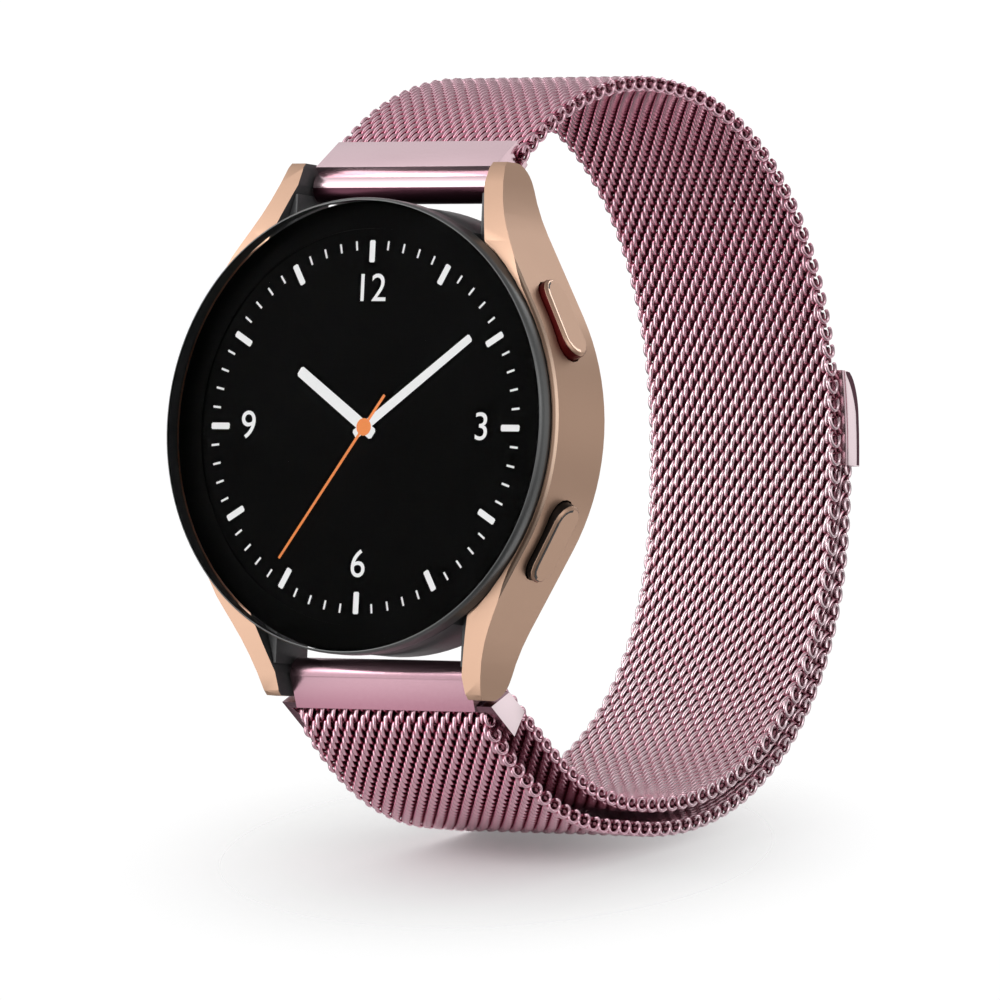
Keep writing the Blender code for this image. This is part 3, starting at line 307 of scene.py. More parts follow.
case_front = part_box("case_frame")[0].y
lug_inner, lug_outer, lug_tip = 0.0097, 0.0110, 0.02295
tip_depth, corner_slack, rim_slack = 0.0010, 0.00004, 0.00006
tip_radius, edge_radius = 0.00060, 0.00016


def at_lug_tip(middle):
    """The corners of a lug's end, which are rounded like a fingertip."""
    across = abs(middle.x)
    on_corner = min(abs(across - lug_inner), abs(across - lug_outer)) < corner_slack
    return on_corner and abs(middle.z) > lug_tip - tip_depth


def off_front_rim(middle):
    """All but the thin front rim round the glass, which keeps its crisp chamfer."""
    return middle.y > case_front + rim_slack


case = merged_copy("case_frame", "case_body")
round_edges(case, tip_radius, 6, at_lug_tip)
round_edges(case, edge_radius, 4, off_front_rim)
dress(case, pink_gold, "head", "pink_gold", "case_frame")

# Dark grey moulding: the real finish of the back cover and the saddles, and painted shade on the lugs' inner
# faces.
dark_plastic = moulded("dark_grey_moulding_and_shade", (0.045, 0.045, 0.046), (0.085, 0.085, 0.087), 0.42)
# The chamfer round the glass: a lighter metal colour as a painted highlight, darker at its front edge beside
# the glass as painted shade.
highlight_edge, highlight_shader, place = new_finish("painted_highlight_finish", 0.22, 1.0)
highlight_grain = noise(place, 5200, 2)
highlight_rise_start, highlight_rise_end, highlight_limit = case_front + 0.00016, case_front + 0.00030, case_front + 0.00048
shade_to_highlight = ramp(parts_of(place)[1], highlight_rise_start, highlight_rise_end)
highlight_colour = blend_colours(highlight_grain, (0.78, 0.55, 0.42), (0.86, 0.62, 0.48))
feed(highlight_shader, "Base Color", blend_colours(shade_to_highlight, (0.30, 0.19, 0.135), highlight_colour))
feed(highlight_shader, "Roughness", 0.18 + highlight_grain * 0.1)
case.data.materials.append(dark_plastic)
case.data.materials.append(highlight_edge)
lug_reach, lug_root = 0.0118, 0.0150
# The lugs' inner faces take the dark moulding as painted shade, and the chamfer faces at the front take the
# painted highlight.
for face in case.data.polygons:
    on_lug = abs(face.center.x) < lug_reach and abs(face.center.z) > lug_root
    if on_lug and face.normal.x * math.copysign(1.0, face.center.x) < -0.5:
        face.material_index = 1
    elif face.center.y < highlight_limit and -0.8 < face.normal.y < -0.2:
        face.material_index = 2

# Display. A black panel behind the glass that shows a plain dial: hour bars, minute ticks, four numbers and
# three hands. The lit shapes are thin sheets on the panel's front.

panel_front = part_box("display_panel")[0].y
panel, panel_shader, place = new_finish("unlit_panel", 0.35)
pixels = noise(place, 16000, 1)
feed(panel_shader, "Base Color", blend_colours(pixels, (0.0002, 0.0002, 0.0003), (0.0008, 0.0008, 0.0009)))
panel_shader["Specular IOR Level"].default_value = 0.02
paint(panel, "display", "display_panel")


def lit(name, colour, strength):
    material, shader, place = new_finish(name, 0.5)
    glow = noise(place, 9000, 1)
    dim = tuple(0.93 * channel for channel in colour)
    feed(shader, "Emission Color", blend_colours(glow, dim, colour))
    shader["Base Color"].default_value = (0.0, 0.0, 0.0, 1.0)
    shader["Emission Strength"].default_value = strength
    return material


white_pixels = lit("lit_white", (0.93, 0.93, 0.93), 0.85)
orange_pixels = lit("lit_orange", (0.90, 0.24, 0.03), 0.9)


def lit_sheet(name, outlines, material, lift):
    """Flat shapes in X and Z, a little in front of the panel, as one thin solid."""
    points, faces = [], []
    for outline in outlines:
        faces.append(range(len(points), len(points) + len(outline)))
        points += [(x, panel_front - lift, z) for x, z in outline]
    mesh = bpy.data.meshes.new(name)
    mesh.from_pydata(points, [], [list(face) for face in faces])
    piece = add_piece(name, mesh)
    bpy.ops.object.mode_set(mode="EDIT")
    bpy.ops.mesh.select_all(action="SELECT")
    bpy.ops.mesh.extrude_region_move(TRANSFORM_OT_translate={"value": (0, 0.00001, 0)})
    bpy.ops.mesh.select_all(action="SELECT")
    bpy.ops.mesh.normals_make_consistent(inside=False)
    bpy.ops.object.mode_set(mode="OBJECT")
    dress(piece, material, "head", "display")


def bar(angle, start, end, half_start, half_end):
    """A straight bar outwards from the centre, at a clockwise angle from 12 o'clock, with cut corners."""
    out = Vector((math.sin(angle), math.cos(angle)))
    side = Vector((out.y, -out.x))
    cut = 0.35
    corners = []
    for along, half, first, second in ((start, half_start, -1, 1), (end, half_end, 1, -1)):
        inward = half if along == start else -half
        corners.append(out * (along + cut * inward) + side * half * first)
        corners.append(out * along + side * half * (1 - cut) * first)
        corners.append(out * along + side * half * (1 - cut) * second)
        corners.append(out * (along + cut * inward) + side * half * second)
    return [tuple(corner) for corner in corners]


def disc(radius, count=32):
    turns_round = [math.tau * i / count for i in range(count)]
    return [(radius * math.cos(turn), radius * math.sin(turn)) for turn in turns_round]


dial_edge = 0.0160
hour_start, hour_half = 0.0141, 0.00028
tick_start, tick_half = 0.0152, 0.00009
hour_bars = [bar(math.tau * i / 12, hour_start, dial_edge, hour_half, hour_half) for i in range(12)]
tick_angles = [math.tau * i / 60 for i in range(60) if i % 5]
minute_ticks = [bar(angle, tick_start, dial_edge, tick_half, tick_half) for angle in tick_angles]
lit_sheet("dial_hour_bars", hour_bars, white_pixels, 0.00002)
lit_sheet("dial_minute_ticks", minute_ticks, white_pixels, 0.00002)
hour_angle = math.tau * (10 + 9 / 60) / 12
minute_angle = math.tau * 9 / 60
second_angle = math.tau * 36 / 60
lit_sheet("hour_hand", [bar(hour_angle, -0.0012, 0.0085, 0.00052, 0.00048)], white_pixels, 0.00004)
lit_sheet("minute_hand", [bar(minute_angle, -0.0012, 0.0131, 0.00042, 0.00036)], white_pixels, 0.00006)
lit_sheet("second_hand", [bar(second_angle, -0.0034, 0.0140, 0.00013, 0.00011)], orange_pixels, 0.00008)
lit_sheet("hand_cap", [disc(0.00075)], orange_pixels, 0.00010)
up_reach, side_reach = 0.0118, 0.0121
dial_numbers = [("12", 0.0, up_reach), ("3", side_reach, 0.0)]
dial_numbers += [("6", 0.0, -up_reach), ("9", -side_reach, 0.0)]
for number, x, z in dial_numbers:
    bpy.ops.object.select_all(action="DESELECT")
    bpy.ops.object.text_add(location=(0, 0, 0))
    digits = bpy.context.object
    digits.data.body = number
    digits.data.size = 0.0034
    digits.data.extrude = 0.000005
    digits.data.align_x = "CENTER"
    digits.data.align_y = "CENTER"
    bpy.ops.object.convert(target="MESH")
    digits.name = f"dial_number_{number}"
    upright = Matrix.Rotation(math.pi / 2, 4, "X")
    digits.data.transform(Matrix.Translation((x, panel_front - 0.00002, z)) @ upright)
    dress(digits, white_pixels, "head", "display")

# Front glass. One sheet of clear glass with a rounded edge, bonded into the case's recess. The edge has a
# grey coating and is inked black below the rim, and a black printed border lies behind the sheet. The
# outlines are spun round the watch's axis.


def turned(name, outline, steps=144):
    """A round piece from its outline of radius and Y, spun round the watch's axis."""
    mesh = bpy.data.meshes.new(name)
    edges = [(i, i + 1) for i in range(len(outline) - 1)]
    mesh.from_pydata([(radius, y, 0) for radius, y in outline], edges, [])
    piece = add_piece(name, mesh)
    bpy.ops.object.mode_set(mode="EDIT")
    bpy.ops.mesh.select_all(action="SELECT")
    bpy.ops.mesh.spin(steps=steps, angle=math.tau, center=(0, 0, 0), axis=(0, 1, 0))
    bpy.ops.mesh.select_all(action="SELECT")
    bpy.ops.mesh.remove_doubles(threshold=0.000002)
    bpy.ops.mesh.normals_make_consistent(inside=False)
    bpy.ops.object.mode_set(mode="OBJECT")
    bpy.ops.object.shade_smooth_by_angle(angle=math.radians(38))
    return piece


def quarter_round(centre, across, along, start, end, count):
    """Points on a quarter of an oval, in radius and Y."""
    points = []
    for i in range(count + 1):
        turn = start + (end - start) * i / count
        points.append((centre[0] + across * math.cos(turn), centre[1] + along * math.sin(turn)))
    return points


glass_low, glass_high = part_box("front_glass")
glass_radius = glass_high.x
glass_flat = 0.0193
glass_drop = 0.0006
edge_centre = (glass_flat, glass_low.y + glass_drop)
glass_edge = quarter_round(edge_centre, glass_radius - glass_flat, glass_drop, -math.pi / 2, 0, 10)
glass_outline = [(0, glass_low.y)] + glass_edge + [(glass_radius, glass_high.y), (0, glass_high.y)]
glass = turned("cover_glass", glass_outline)
clear, clear_shader, place = new_finish("clear_glass", 0.0)
smears = noise(place, 160, 3)
feed(clear_shader, "Base Color", blend_colours(smears, (0.96, 0.96, 0.96), (1.0, 1.0, 1.0)))
clear_shader["Transmission Weight"].default_value = 1.0
clear_shader["IOR"].default_value = 1.001
dress(glass, clear, "head", "black_glass", "front_glass")
coating, coating_shader, place = new_finish("grey_edge_coating", 0.28, 0.9)
fleck = noise(place, 6000, 2)
feed(coating_shader, "Base Color", blend_colours(fleck, (0.120, 0.122, 0.122), (0.165, 0.167, 0.166)))
feed(coating_shader, "Roughness", 0.32 + fleck * 0.1)
border_inner, border_outer = 0.0170, 0.01935
border_front = glass_high.y + 0.00003
border_back = border_front + 0.00004
border = [(border_inner, border_front), (border_outer, border_front)]
border += [(border_outer, border_back), (border_inner, border_back)]
border_ring = turned("glass_border", border + border[:1])
ink, ink_shader, place = new_finish("black_ink", 0.4)
specks = noise(place, 9000, 2)
feed(ink_shader, "Base Color", blend_colours(specks, (0.0002, 0.0002, 0.0003), (0.0008, 0.0008, 0.0009)))
ink_shader["Specular IOR Level"].default_value = 0.02
dress(border_ring, ink, "head", "black_glass")
glass.data.materials.append(coating)
glass.data.materials.append(ink)
coating_end = case_front - 0.00012
for face in glass.data.polygons:
    if math.hypot(face.center.x, face.center.z) > glass_flat:
        face.material_index = 1 if face.center.y < coating_end else 2

# Back cover and sensor window. The cover is dark moulded plastic pressed into the case's bore, and the window
# is dark glass with a round edge, over the optical sensors and the charging coil.

cover = rounded_copy("back_cover", "back_shell", 0.00012)
dress(cover, dark_plastic, "head", "dark_plastic", "back_cover")

window_low, window_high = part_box("sensor_window")
window_radius = window_high.x
window_inset, window_drop = 0.0018, 0.0005
window_centre = (window_radius - window_inset, window_high.y - window_drop)
window_edge = quarter_round(window_centre, window_inset, window_drop, 0, math.pi / 2, 10)
window_outline = [(0, window_low.y), (window_radius, window_low.y)] + window_edge + [(0, window_high.y)]
window = turned("sensor_glass", window_outline, 96)
sensor, sensor_shader, place = new_finish("dark_sensor_glass", 0.06)
sensor_x, _, sensor_z = parts_of(place)
sensor_radius = (sensor_x * sensor_x + sensor_z * sensor_z) ** 0.5
round_places = sensor_x.node("ShaderNodeMath", {"operation": "ARCTAN2"}, {0: sensor_z, 1: sensor_x})
spoke_count = 8
spoke = round_places.node("ShaderNodeMath", {"operation": "COSINE"}, {0: round_places * spoke_count})
detector_ring = ramp(sensor_radius, 0.0042, 0.00435) * (1 - ramp(sensor_radius, 0.0059, 0.00605))
detectors = detector_ring * ramp(spoke, -0.35, -0.25)
lamp_ring = ramp(sensor_radius, 0.0011, 0.0012) * (1 - ramp(sensor_radius, 0.0024, 0.0025))
lamps = lamp_ring * ramp(spoke, 0.1, 0.25)
rim = ramp(sensor_radius, 0.0066, 0.0067) * (1 - ramp(sensor_radius, 0.0069, 0.0070))
ground = blend_colours(detectors, (0.004, 0.004, 0.005), (0.030, 0.032, 0.040))
ground = blend_colours(lamps, ground, (0.20, 0.21, 0.19))
feed(sensor_shader, "Base Color", blend_colours(rim, ground, (0.07, 0.07, 0.075)))
sensor_shader["Coat Weight"].default_value = 0.6
sensor_shader["Coat Roughness"].default_value = 0.03
dress(window, sensor, "head", "black_glass", "sensor_window")

# Saddles. Dark grey mouldings that cover the case wall between each pair of lugs, with gussets along the
# lugs' inner faces. Their dark grey is partly painted shade between the lugs. They clip on from behind. They
# are copies of the solids with rounded edges.

for end in ("upper", "lower"):
    saddle = rounded_copy(f"{end}_saddle", f"{end}_lug_cover", 0.0001, 2)
    dress(saddle, dark_plastic, "head", "dark_plastic", f"{end}_saddle")

# Buttons. Two pill-shaped keys in the case's right wall, milled from the same metal. The flank of the upper
# one is anodised dark red. The flank of the lower one is painted black as painted shade. Along the front of
# each top runs a black line of painted shade, edged with a painted highlight on the upper key and with more
# painted shade on the lower one.


def flank_finish(name, dark, light):
    material, shader, place = new_finish(name, 0.3, 0.6)
    grain = noise(place, 6000, 2)
    feed(shader, "Base Color", blend_colours(grain, dark, light))
    feed(shader, "Normal", relief(grain, 0.000005, 0.3))
    return material


red_flank = flank_finish("red_flank", (0.09, 0.001, 0.002), (0.15, 0.004, 0.005))
# Black for the lower key's flank and for the lines on the key tops: painted shade.
painted_shade_black = flank_finish("painted_shade_black", (0.006, 0.005, 0.005), (0.016, 0.013, 0.012))
key_top, key_spine, key_front = 0.0205, 0.0021, 0.0002
top_insets = (0.00002, 0.00018, 0.00005)
line_start, line_middle, line_end = 0.00104, 0.00114, 0.00140
for end, angle, flank in (("upper", 28, red_flank), ("lower", -28, painted_shade_black)):
    key = rounded_copy(f"{end}_button", f"{end}_key", 0.00006)
    dress(key, pink_gold, f"{end}_button", "pink_gold", f"{end}_button")
    key.data.materials.append(flank)
    key.data.materials.append(painted_shade_black)
    key.data.materials.append(highlight_edge)
    outward = Vector((math.cos(math.radians(angle)), 0, math.sin(math.radians(angle))))
    along_key = Vector((-outward.z, 0, outward.x))
    for face in key.data.polygons:
        face.select = face.normal.dot(outward) > 0.999 and face.center.dot(outward) > key_top
    bpy.ops.object.mode_set(mode="EDIT")
    for width in top_insets:
        bpy.ops.mesh.inset(thickness=width)
    bpy.ops.object.mode_set(mode="OBJECT")
    bpy.ops.object.shade_smooth_by_angle(angle=math.radians(24))
    middle = (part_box(f"{end}_button")[0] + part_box(f"{end}_button")[1]) / 2
    # Index 1 is the flank: red on the upper key and painted shade on the lower. Index 2 is the black line of
    # painted shade. Index 3 is the painted highlight on the upper key and more painted shade on the lower.
    for face in key.data.polygons:
        lean = abs(face.normal.dot(outward))
        offset = face.center - middle
        from_spine = math.hypot(max(0.0, abs(offset.dot(along_key)) - key_spine), offset.y)
        in_front = offset.y < key_front and face.center.dot(outward) > key_top
        if lean < 0.2:
            face.material_index = 1
        elif in_front and line_start < from_spine < line_middle:
            face.material_index = 2
        elif in_front and line_middle < from_spine < line_end and lean > 0.94:
            face.material_index = 3 if end == "upper" else 2

# Connectors. Two rose-coloured steel fittings swing on the spring bars: the upper one, painted dark under its
# barrel as painted shade, grips the strap in its mouth, and the lower one is a slotted loop that the strap
# folds round. The lower one is a darker copy of the steel, darker still towards its bottom, as painted shade,
# and its sides are a paler copy as painted light.

rose_steel = brushed("rose_steel", (0.78, 0.555, 0.61), (0.88, 0.655, 0.71), 0.2, 0, 0.000002)
# A paler copy of the rose steel for the clasp shell and the loop's sides: painted light.
painted_light_rose_steel = brushed("painted_light_rose_steel", (0.90, 0.73, 0.77), (0.98, 0.82, 0.86), 0.2, 0, 0.000002)
# Dark plum steel: painted shade under the upper fitting's barrel, and a painted dark reflection along the
# clasp's edges.
painted_shade_steel = brushed("painted_shade_steel", (0.060, 0.020, 0.032), (0.110, 0.042, 0.060), 0.3, 0, 0.000002)
top_fitting = rounded_copy("top_connector", "top_fitting", 0.00012)
dress(top_fitting, rose_steel, "top_link", "rose_steel", "top_connector")
top_fitting.data.materials.append(painted_shade_steel)
barrel_middle = 0.0211
for face in top_fitting.data.polygons:
    under_barrel = face.center.z < barrel_middle and face.normal.z < -0.12
    if under_barrel and abs(face.normal.x) < 0.5:
        face.material_index = 1
# A darker copy of the rose steel, darker still towards the loop's bottom: painted shade.
shaded_rose_steel, shaded_rose_shader, place = new_finish("shaded_rose_steel", 0.22, 1.0)
deep_marks = noise(place, 2600, 3)
loop_low, loop_high = -0.0242, -0.0208
shade_by_height = ramp(parts_of(place)[2], loop_low, loop_high) * 0.85 + deep_marks * 0.15
feed(shaded_rose_shader, "Base Color", blend_colours(shade_by_height, (0.25, 0.112, 0.150), (0.44, 0.27, 0.315)))
feed(shaded_rose_shader, "Roughness", 0.18 + deep_marks * 0.08)
bottom_fitting = rounded_copy("bottom_loop", "bottom_fitting", 0.00012)
dress(bottom_fitting, shaded_rose_steel, "bottom_link", "rose_steel", "bottom_loop")
bottom_fitting.data.materials.append(painted_light_rose_steel)
# The loop's sides take the paler copy as painted light.
for face in bottom_fitting.data.polygons:
    if abs(face.normal.x) > 0.8:
        face.material_index = 1

pivot_y, pivot_z = -0.0030, 0.02095
for end, side in (("top", 1), ("bottom", -1)):
    spring = merged_copy(f"{end}_spring", f"{end}_coil_spring")
    dress(spring, steel, f"{end}_link", "steel", f"{end}_spring")
    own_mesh(spring)

# Woven strap. Flattened coils of rose-coloured steel wire lie across the strap, each threaded through the
# next and set over by half a turn, with curled wire ends along both edges. Two rows are modelled flat,
# repeated along the strap, and laid along its path round the wrist, whose sizes are those of the solids.

strap_thickness = 0.0014
top_rise, top_radius = 0.01175, 0.0310
start_back, start_rise = 0.0018, 0.00308
top_run = math.sqrt(top_radius ** 2 - (start_rise - top_rise + top_radius) ** 2)
top_y, top_z = pivot_y + start_back + top_run, pivot_z + top_rise
rear_y, rear_z = pivot_y + 0.0551, -0.0030
bottom_y, bottom_z = pivot_y + 0.0248, -pivot_z - 0.01035
tail_gap = 0.00072
tail_end_z = 0.00218
oval_power = 2.2
fold = Vector((pivot_y + 0.00343, -pivot_z - 0.00318))
bar_radius, bar_clearance = 0.0011, 0.0001
bar_reach = bar_radius + bar_clearance
inner_angle, tail_angle = math.radians(32), math.radians(42)


def arc_points(centre, radius, start, end, count):
    points = []
    for i in range(count + 1):
        turn = start + (end - start) * i / count
        points.append(centre + radius * Vector((math.cos(turn), math.sin(turn))))
    return points


def rear_quarter(centre_y, height, upper, offset, count=48):
    """Rear quarter of the band in Y and Z, a squarish oval, at an offset from its inner run."""
    points = []
    for i in range(count + 1):
        turn = math.pi / 2 * (1 - i / count)
        y = (rear_y - centre_y + offset) * max(0.0, math.cos(turn)) ** (2 / oval_power)
        z = (height + offset) * max(0.0, math.sin(turn)) ** (2 / oval_power)
        points.append(Vector((centre_y + y, rear_z + (z if upper else -z))))
    return points


def strap_line():
    """Mid-line of the strap in Y and Z, from the upper connector to the clasp."""
    half = strap_thickness / 2
    start = math.acos(-top_run / top_radius)
    line = arc_points(Vector((top_y, top_z - top_radius)), top_radius - half, start, math.pi / 2, 24)
    line += rear_quarter(top_y, top_z - rear_z, True, -half)[1:]
    line += list(reversed(rear_quarter(bottom_y, rear_z - bottom_z, False, -half)))[1:]
    inner = Vector((math.sin(inner_angle), math.cos(inner_angle)))
    bottom = Vector((bottom_y, bottom_z))
    radius = (inner.dot(bottom) - inner.dot(fold) - bar_reach) / (1 - inner.y)
    centre = bottom + Vector((0, radius))
    line += arc_points(centre, radius - half, -math.pi / 2, -math.pi / 2 - inner_angle, 20)[1:]
    middle = bar_reach + half
    line += arc_points(fold, middle, math.pi / 2 - inner_angle, 1.5 * math.pi - tail_angle, 16)
    outer = Vector((math.sin(tail_angle), math.cos(tail_angle)))
    leave = fold - outer * middle
    radius = (leave.y - bottom_z + tail_gap + half) / (1 - outer.y)
    centre = leave + outer * radius
    line += arc_points(centre, radius, -math.pi / 2 - tail_angle, -math.pi / 2, 24)[1:]
    rear = rear_quarter(bottom_y, rear_z - bottom_z, False, tail_gap + half)
    line += rear[1 if centre.x > bottom_y else 0:]
    tail = reversed(rear_quarter(top_y, top_z - rear_z, True, tail_gap + half)[:-1])
    return line + [point for point in tail if point.y < tail_end_z]


line = np.array([tuple(point) for point in strap_line()])
steps = np.linalg.norm(np.diff(line, axis=0), axis=1)
line = line[np.concatenate(([True], steps > 1e-7))]
steps = np.linalg.norm(np.diff(line, axis=0), axis=1)
along = np.concatenate(([0.0], np.cumsum(steps)))
heading = np.gradient(line, along, axis=0)
heading /= np.linalg.norm(heading, axis=1)[:, None]
strap_length = along[-1]

wire_radius = 0.000195
turn_pitch = 0.00119
coil_half_length = 0.00085
coil_half_height = 0.000505
wire_pressed = 1.2
coil_reach = 0.00943
curl_radius, curl_steps = 0.000165, 14
curl_start, curl_turns = 0.52, 0.86
curl_offset, curl_spread = 0.00004, 0.00034
curl_half_length, curl_lean, curl_half_height = 0.00064, 0.00016, 0.00054
curl_crest, rod_crest = 0.85, -1.0
rod_reach, rod_radius = coil_reach + 0.00030, 0.00020
rod_flattening = (1.0, 1.5, 0.8, 1.0)
wanted_pitch = 0.0016
pair_count = round(strap_length / wanted_pitch)
pair_pitch = strap_length / pair_count
end_slack = 0.0005


def bent_wire(name, points, radius, crest):
    """A wire along a row of points, rolled a little wider than thick.

    Its crest attribute says how far out of the weave a point stands, and is below zero on a cross wire.
    """
    curve = bpy.data.curves.new(name, "CURVE")
    curve.dimensions = "3D"
    spline = curve.splines.new("POLY")
    spline.points.add(len(points) - 1)
    for point, place in zip(spline.points, points):
        point.co = (place[0] / wire_pressed, place[1], place[2], 1.0)
    curve.bevel_depth = radius
    curve.bevel_resolution = 1
    curve.use_fill_caps = True
    piece = bpy.data.objects.new(name, curve)
    bpy.context.scene.collection.objects.link(piece)
    alone(piece)
    bpy.ops.object.convert(target="MESH")
    wire = bpy.context.object
    wire.data.transform(Matrix.Diagonal((wire_pressed, 1.0, 1.0, 1.0)))
    heights = wire.data.attributes.new("crest", "FLOAT", "POINT")
    for vertex, height in zip(wire.data.vertices, heights.data):
        stands = min(1.0, abs(vertex.co.z) / (coil_half_height + wire_radius))
        height.value = crest if crest < 0 else max(crest, stands)
    return wire


def coil_row(number):
    """One flattened coil across the strap: X across, Y along the strap, Z outwards."""
    middle = pair_pitch * (0.25 + 0.5 * number)
    shift = turn_pitch / 2 * number
    points_per_turn = 10
    count = round(2 * coil_reach / turn_pitch * points_per_turn)
    points = []
    for i in range(count + 1):
        x = -coil_reach + 2 * coil_reach * i / count
        turn = math.tau * (x - shift) / turn_pitch
        points.append((x, middle - coil_half_length * math.cos(turn), coil_half_height * math.sin(turn)))
    return bent_wire(f"coil_row_{number}", points, wire_radius, 0.0)


def edge_curl(side):
    """The curled wire ends that close two rows at one edge of the strap."""
    points = []
    for i in range(curl_steps + 1):
        share = i / curl_steps
        turn = math.tau * (curl_start + curl_turns * share)
        x = side * (coil_reach + curl_offset + curl_spread * share)
        along_edge = curl_half_length * math.cos(turn) + curl_lean * math.sin(turn)
        points.append((x, pair_pitch / 2 + along_edge, curl_half_height * math.sin(turn)))
    return bent_wire(f"edge_curl_{side}", points, curl_radius, curl_crest)


def cross_wire(number):
    """The flat straight wire that locks one row to the next, inside both coils."""
    ends = [(-rod_reach, 0, 0), (rod_reach, 0, 0)]
    wire = bent_wire(f"cross_wire_{number}", ends, rod_radius, rod_crest)
    move = Matrix.Translation((0, pair_pitch / 2 * number, 0))
    wire.data.transform(move @ Matrix.Diagonal(rod_flattening))
    return wire


flat_pair = [coil_row(0), coil_row(1), cross_wire(0), cross_wire(1), edge_curl(1), edge_curl(-1)]
bpy.ops.object.select_all(action="DESELECT")
for wire in flat_pair:
    wire.select_set(True)
bpy.context.view_layer.objects.active = flat_pair[0]
bpy.ops.object.join()
wire_pair = bpy.context.object
bpy.ops.object.shade_smooth()

wire_finish, wire_shader, place = new_finish("rose_wire", 0.2, 1.0)
drawn = noise(place, 5200, 2)
drift = noise(place, 60, 2)
depth = Socket(place.tree, place.tree.nodes.new("ShaderNodeAttribute").outputs["Fac"])
place.tree.nodes["Attribute"].attribute_name = "crest"
_, band_y, band_z = parts_of(place)
# Paler towards the rear and lower part of the band: a painted reflection of the room.
reflection_paleness = ramp(band_y, 0.018, 0.036) * (1 - ramp(band_z, 0.0, 0.022))
rosy_crest = blend_colours(drift, (0.92, 0.545, 0.645), (0.97, 0.635, 0.725))
reflected_pale_crest = blend_colours(drift, (0.98, 0.735, 0.795), (1.0, 0.815, 0.865))
crest_colour = blend_colours(reflection_paleness, rosy_crest, reflected_pale_crest)
# Darker where the wire lies deep in the weave: painted shade.
hollow_shade_colour = blend_colours(reflection_paleness, (0.44, 0.122, 0.192), (0.53, 0.225, 0.290))
coil_colour = blend_colours(ramp(depth, 0.52, 0.90), hollow_shade_colour, crest_colour)
# The cross wires inside the coils are painted dark as painted shade.
rod_shade_colour = (0.21, 0.075, 0.100)
feed(wire_shader, "Base Color", blend_colours(ramp(depth, -1.0, 0.0), rod_shade_colour, coil_colour))
feed(wire_shader, "Roughness", 0.21 + drawn * 0.08)


def woven_length(name, first, last):
    """Pairs of rows, from first up to last, laid along the strap's path."""
    piece = add_piece(name, wire_pair.data.copy())
    repeat = piece.modifiers.new("rows", "ARRAY")
    repeat.use_relative_offset = False
    repeat.use_constant_offset = True
    repeat.constant_offset_displace = (0, pair_pitch, 0)
    repeat.count = last - first
    bpy.ops.object.modifier_apply(modifier="rows")
    flat = np.empty(len(piece.data.vertices) * 3)
    piece.data.vertices.foreach_get("co", flat)
    x, run, out = flat.reshape(-1, 3).T
    run = np.clip(run + first * pair_pitch, -end_slack, strap_length + end_slack)
    direction = np.stack([np.interp(run, along, heading[:, i]) for i in range(2)])
    direction /= np.linalg.norm(direction, axis=0)
    y = np.interp(run, along, line[:, 0]) - out * direction[1]
    z = np.interp(run, along, line[:, 1]) + out * direction[0]
    piece.data.vertices.foreach_set("co", np.stack([x, y, z], axis=1).ravel())
    piece.data.materials.append(wire_finish)
    return piece


def nearest_run(point):
    return along[np.argmin(np.linalg.norm(line - np.array(point), axis=1))]


inner = Vector((math.sin(inner_angle), math.cos(inner_angle)))
outer = Vector((math.sin(tail_angle), math.cos(tail_angle)))
turn_radius = bar_reach + strap_thickness / 2
flex_length, flex_near, flex_far = 0.0100, 0.0015, 0.0095
fold_margin, fold_reach = 0.0050, 0.0015
flex_end = round(flex_length / pair_pitch)
fold_start = round((nearest_run(fold + inner * turn_radius) - fold_margin) / pair_pitch)
fold_end = round((nearest_run(fold - outer * turn_radius) + fold_margin) / pair_pitch)
main_middle = (flex_end + fold_start) // 2

top_flex = woven_length("woven_top_flex", 0, flex_end)
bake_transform(top_flex)
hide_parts("strap_top_flex")
upper_run = woven_length("woven_upper_run", flex_end, main_middle)
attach(upper_run, "head")
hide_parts("strap_main")
lower_run = woven_length("woven_lower_run", main_middle, fold_start)
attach(lower_run, "head")
fold_run = woven_length("woven_fold", fold_start, fold_end)
fold_centre = Vector((0, *fold))
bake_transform(fold_run)
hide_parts("strap_fold")
tail_run = woven_length("woven_tail", fold_end, pair_count)
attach(tail_run, "tail")
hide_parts("strap_tail")
bpy.data.objects.remove(wire_pair)

# The loop's hidden bar is thinned and its passage is widened, so that the fold has room when the loop swings.
passage_half_width = 0.0103
bar_limit, passage_near, passage_far = 0.00166, 0.0027, 0.0029
bar_thinning, passage_widening = 0.30, 0.11
for vertex in bottom_fitting.data.vertices:
    from_fold = Vector((0, vertex.co.y, vertex.co.z)) - fold_centre
    in_passage = abs(vertex.co.x) < passage_half_width
    if in_passage and from_fold.length < bar_limit:
        vertex.co -= from_fold * bar_thinning
    elif in_passage and passage_near < from_fold.length < passage_far:
        vertex.co += from_fold * passage_widening

# Clasp. A pressed shell of rose steel, in a paler copy of the steel as painted light, grips the strap's end,
# holds two magnets, and is closed by a thin cover plate that lies on the strap. A thin dark sheet along the
# outer edge of each side is a painted reflection of dark surroundings.

clasp = rounded_copy("clasp_shell", "clasp_cap", 0.0001)
dress(clasp, painted_light_rose_steel, "tail", "rose_steel", "clasp_shell")
clasp_low, clasp_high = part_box("clasp_shell")
clasp_taper, shell_inner, shell_outer, shell_tip = 0.0037, 0.00072, 0.00255, 0.0012
reflection_steps, reflection_margin, reflection_inset = 24, 0.0001, 0.00009
reflection_width, reflection_widening = 0.00036, 0.0005
reflection_sunk, reflection_thickness = 0.00001, 0.00003


def behind_band(offset, z):
    """A place on the rear of the band in Y, at a height and an offset from its inner run."""
    share = ((z - rear_z) / (top_z - rear_z + offset)) ** oval_power
    return top_y + (rear_y - top_y + offset) * (1 - share) ** (1 / oval_power)


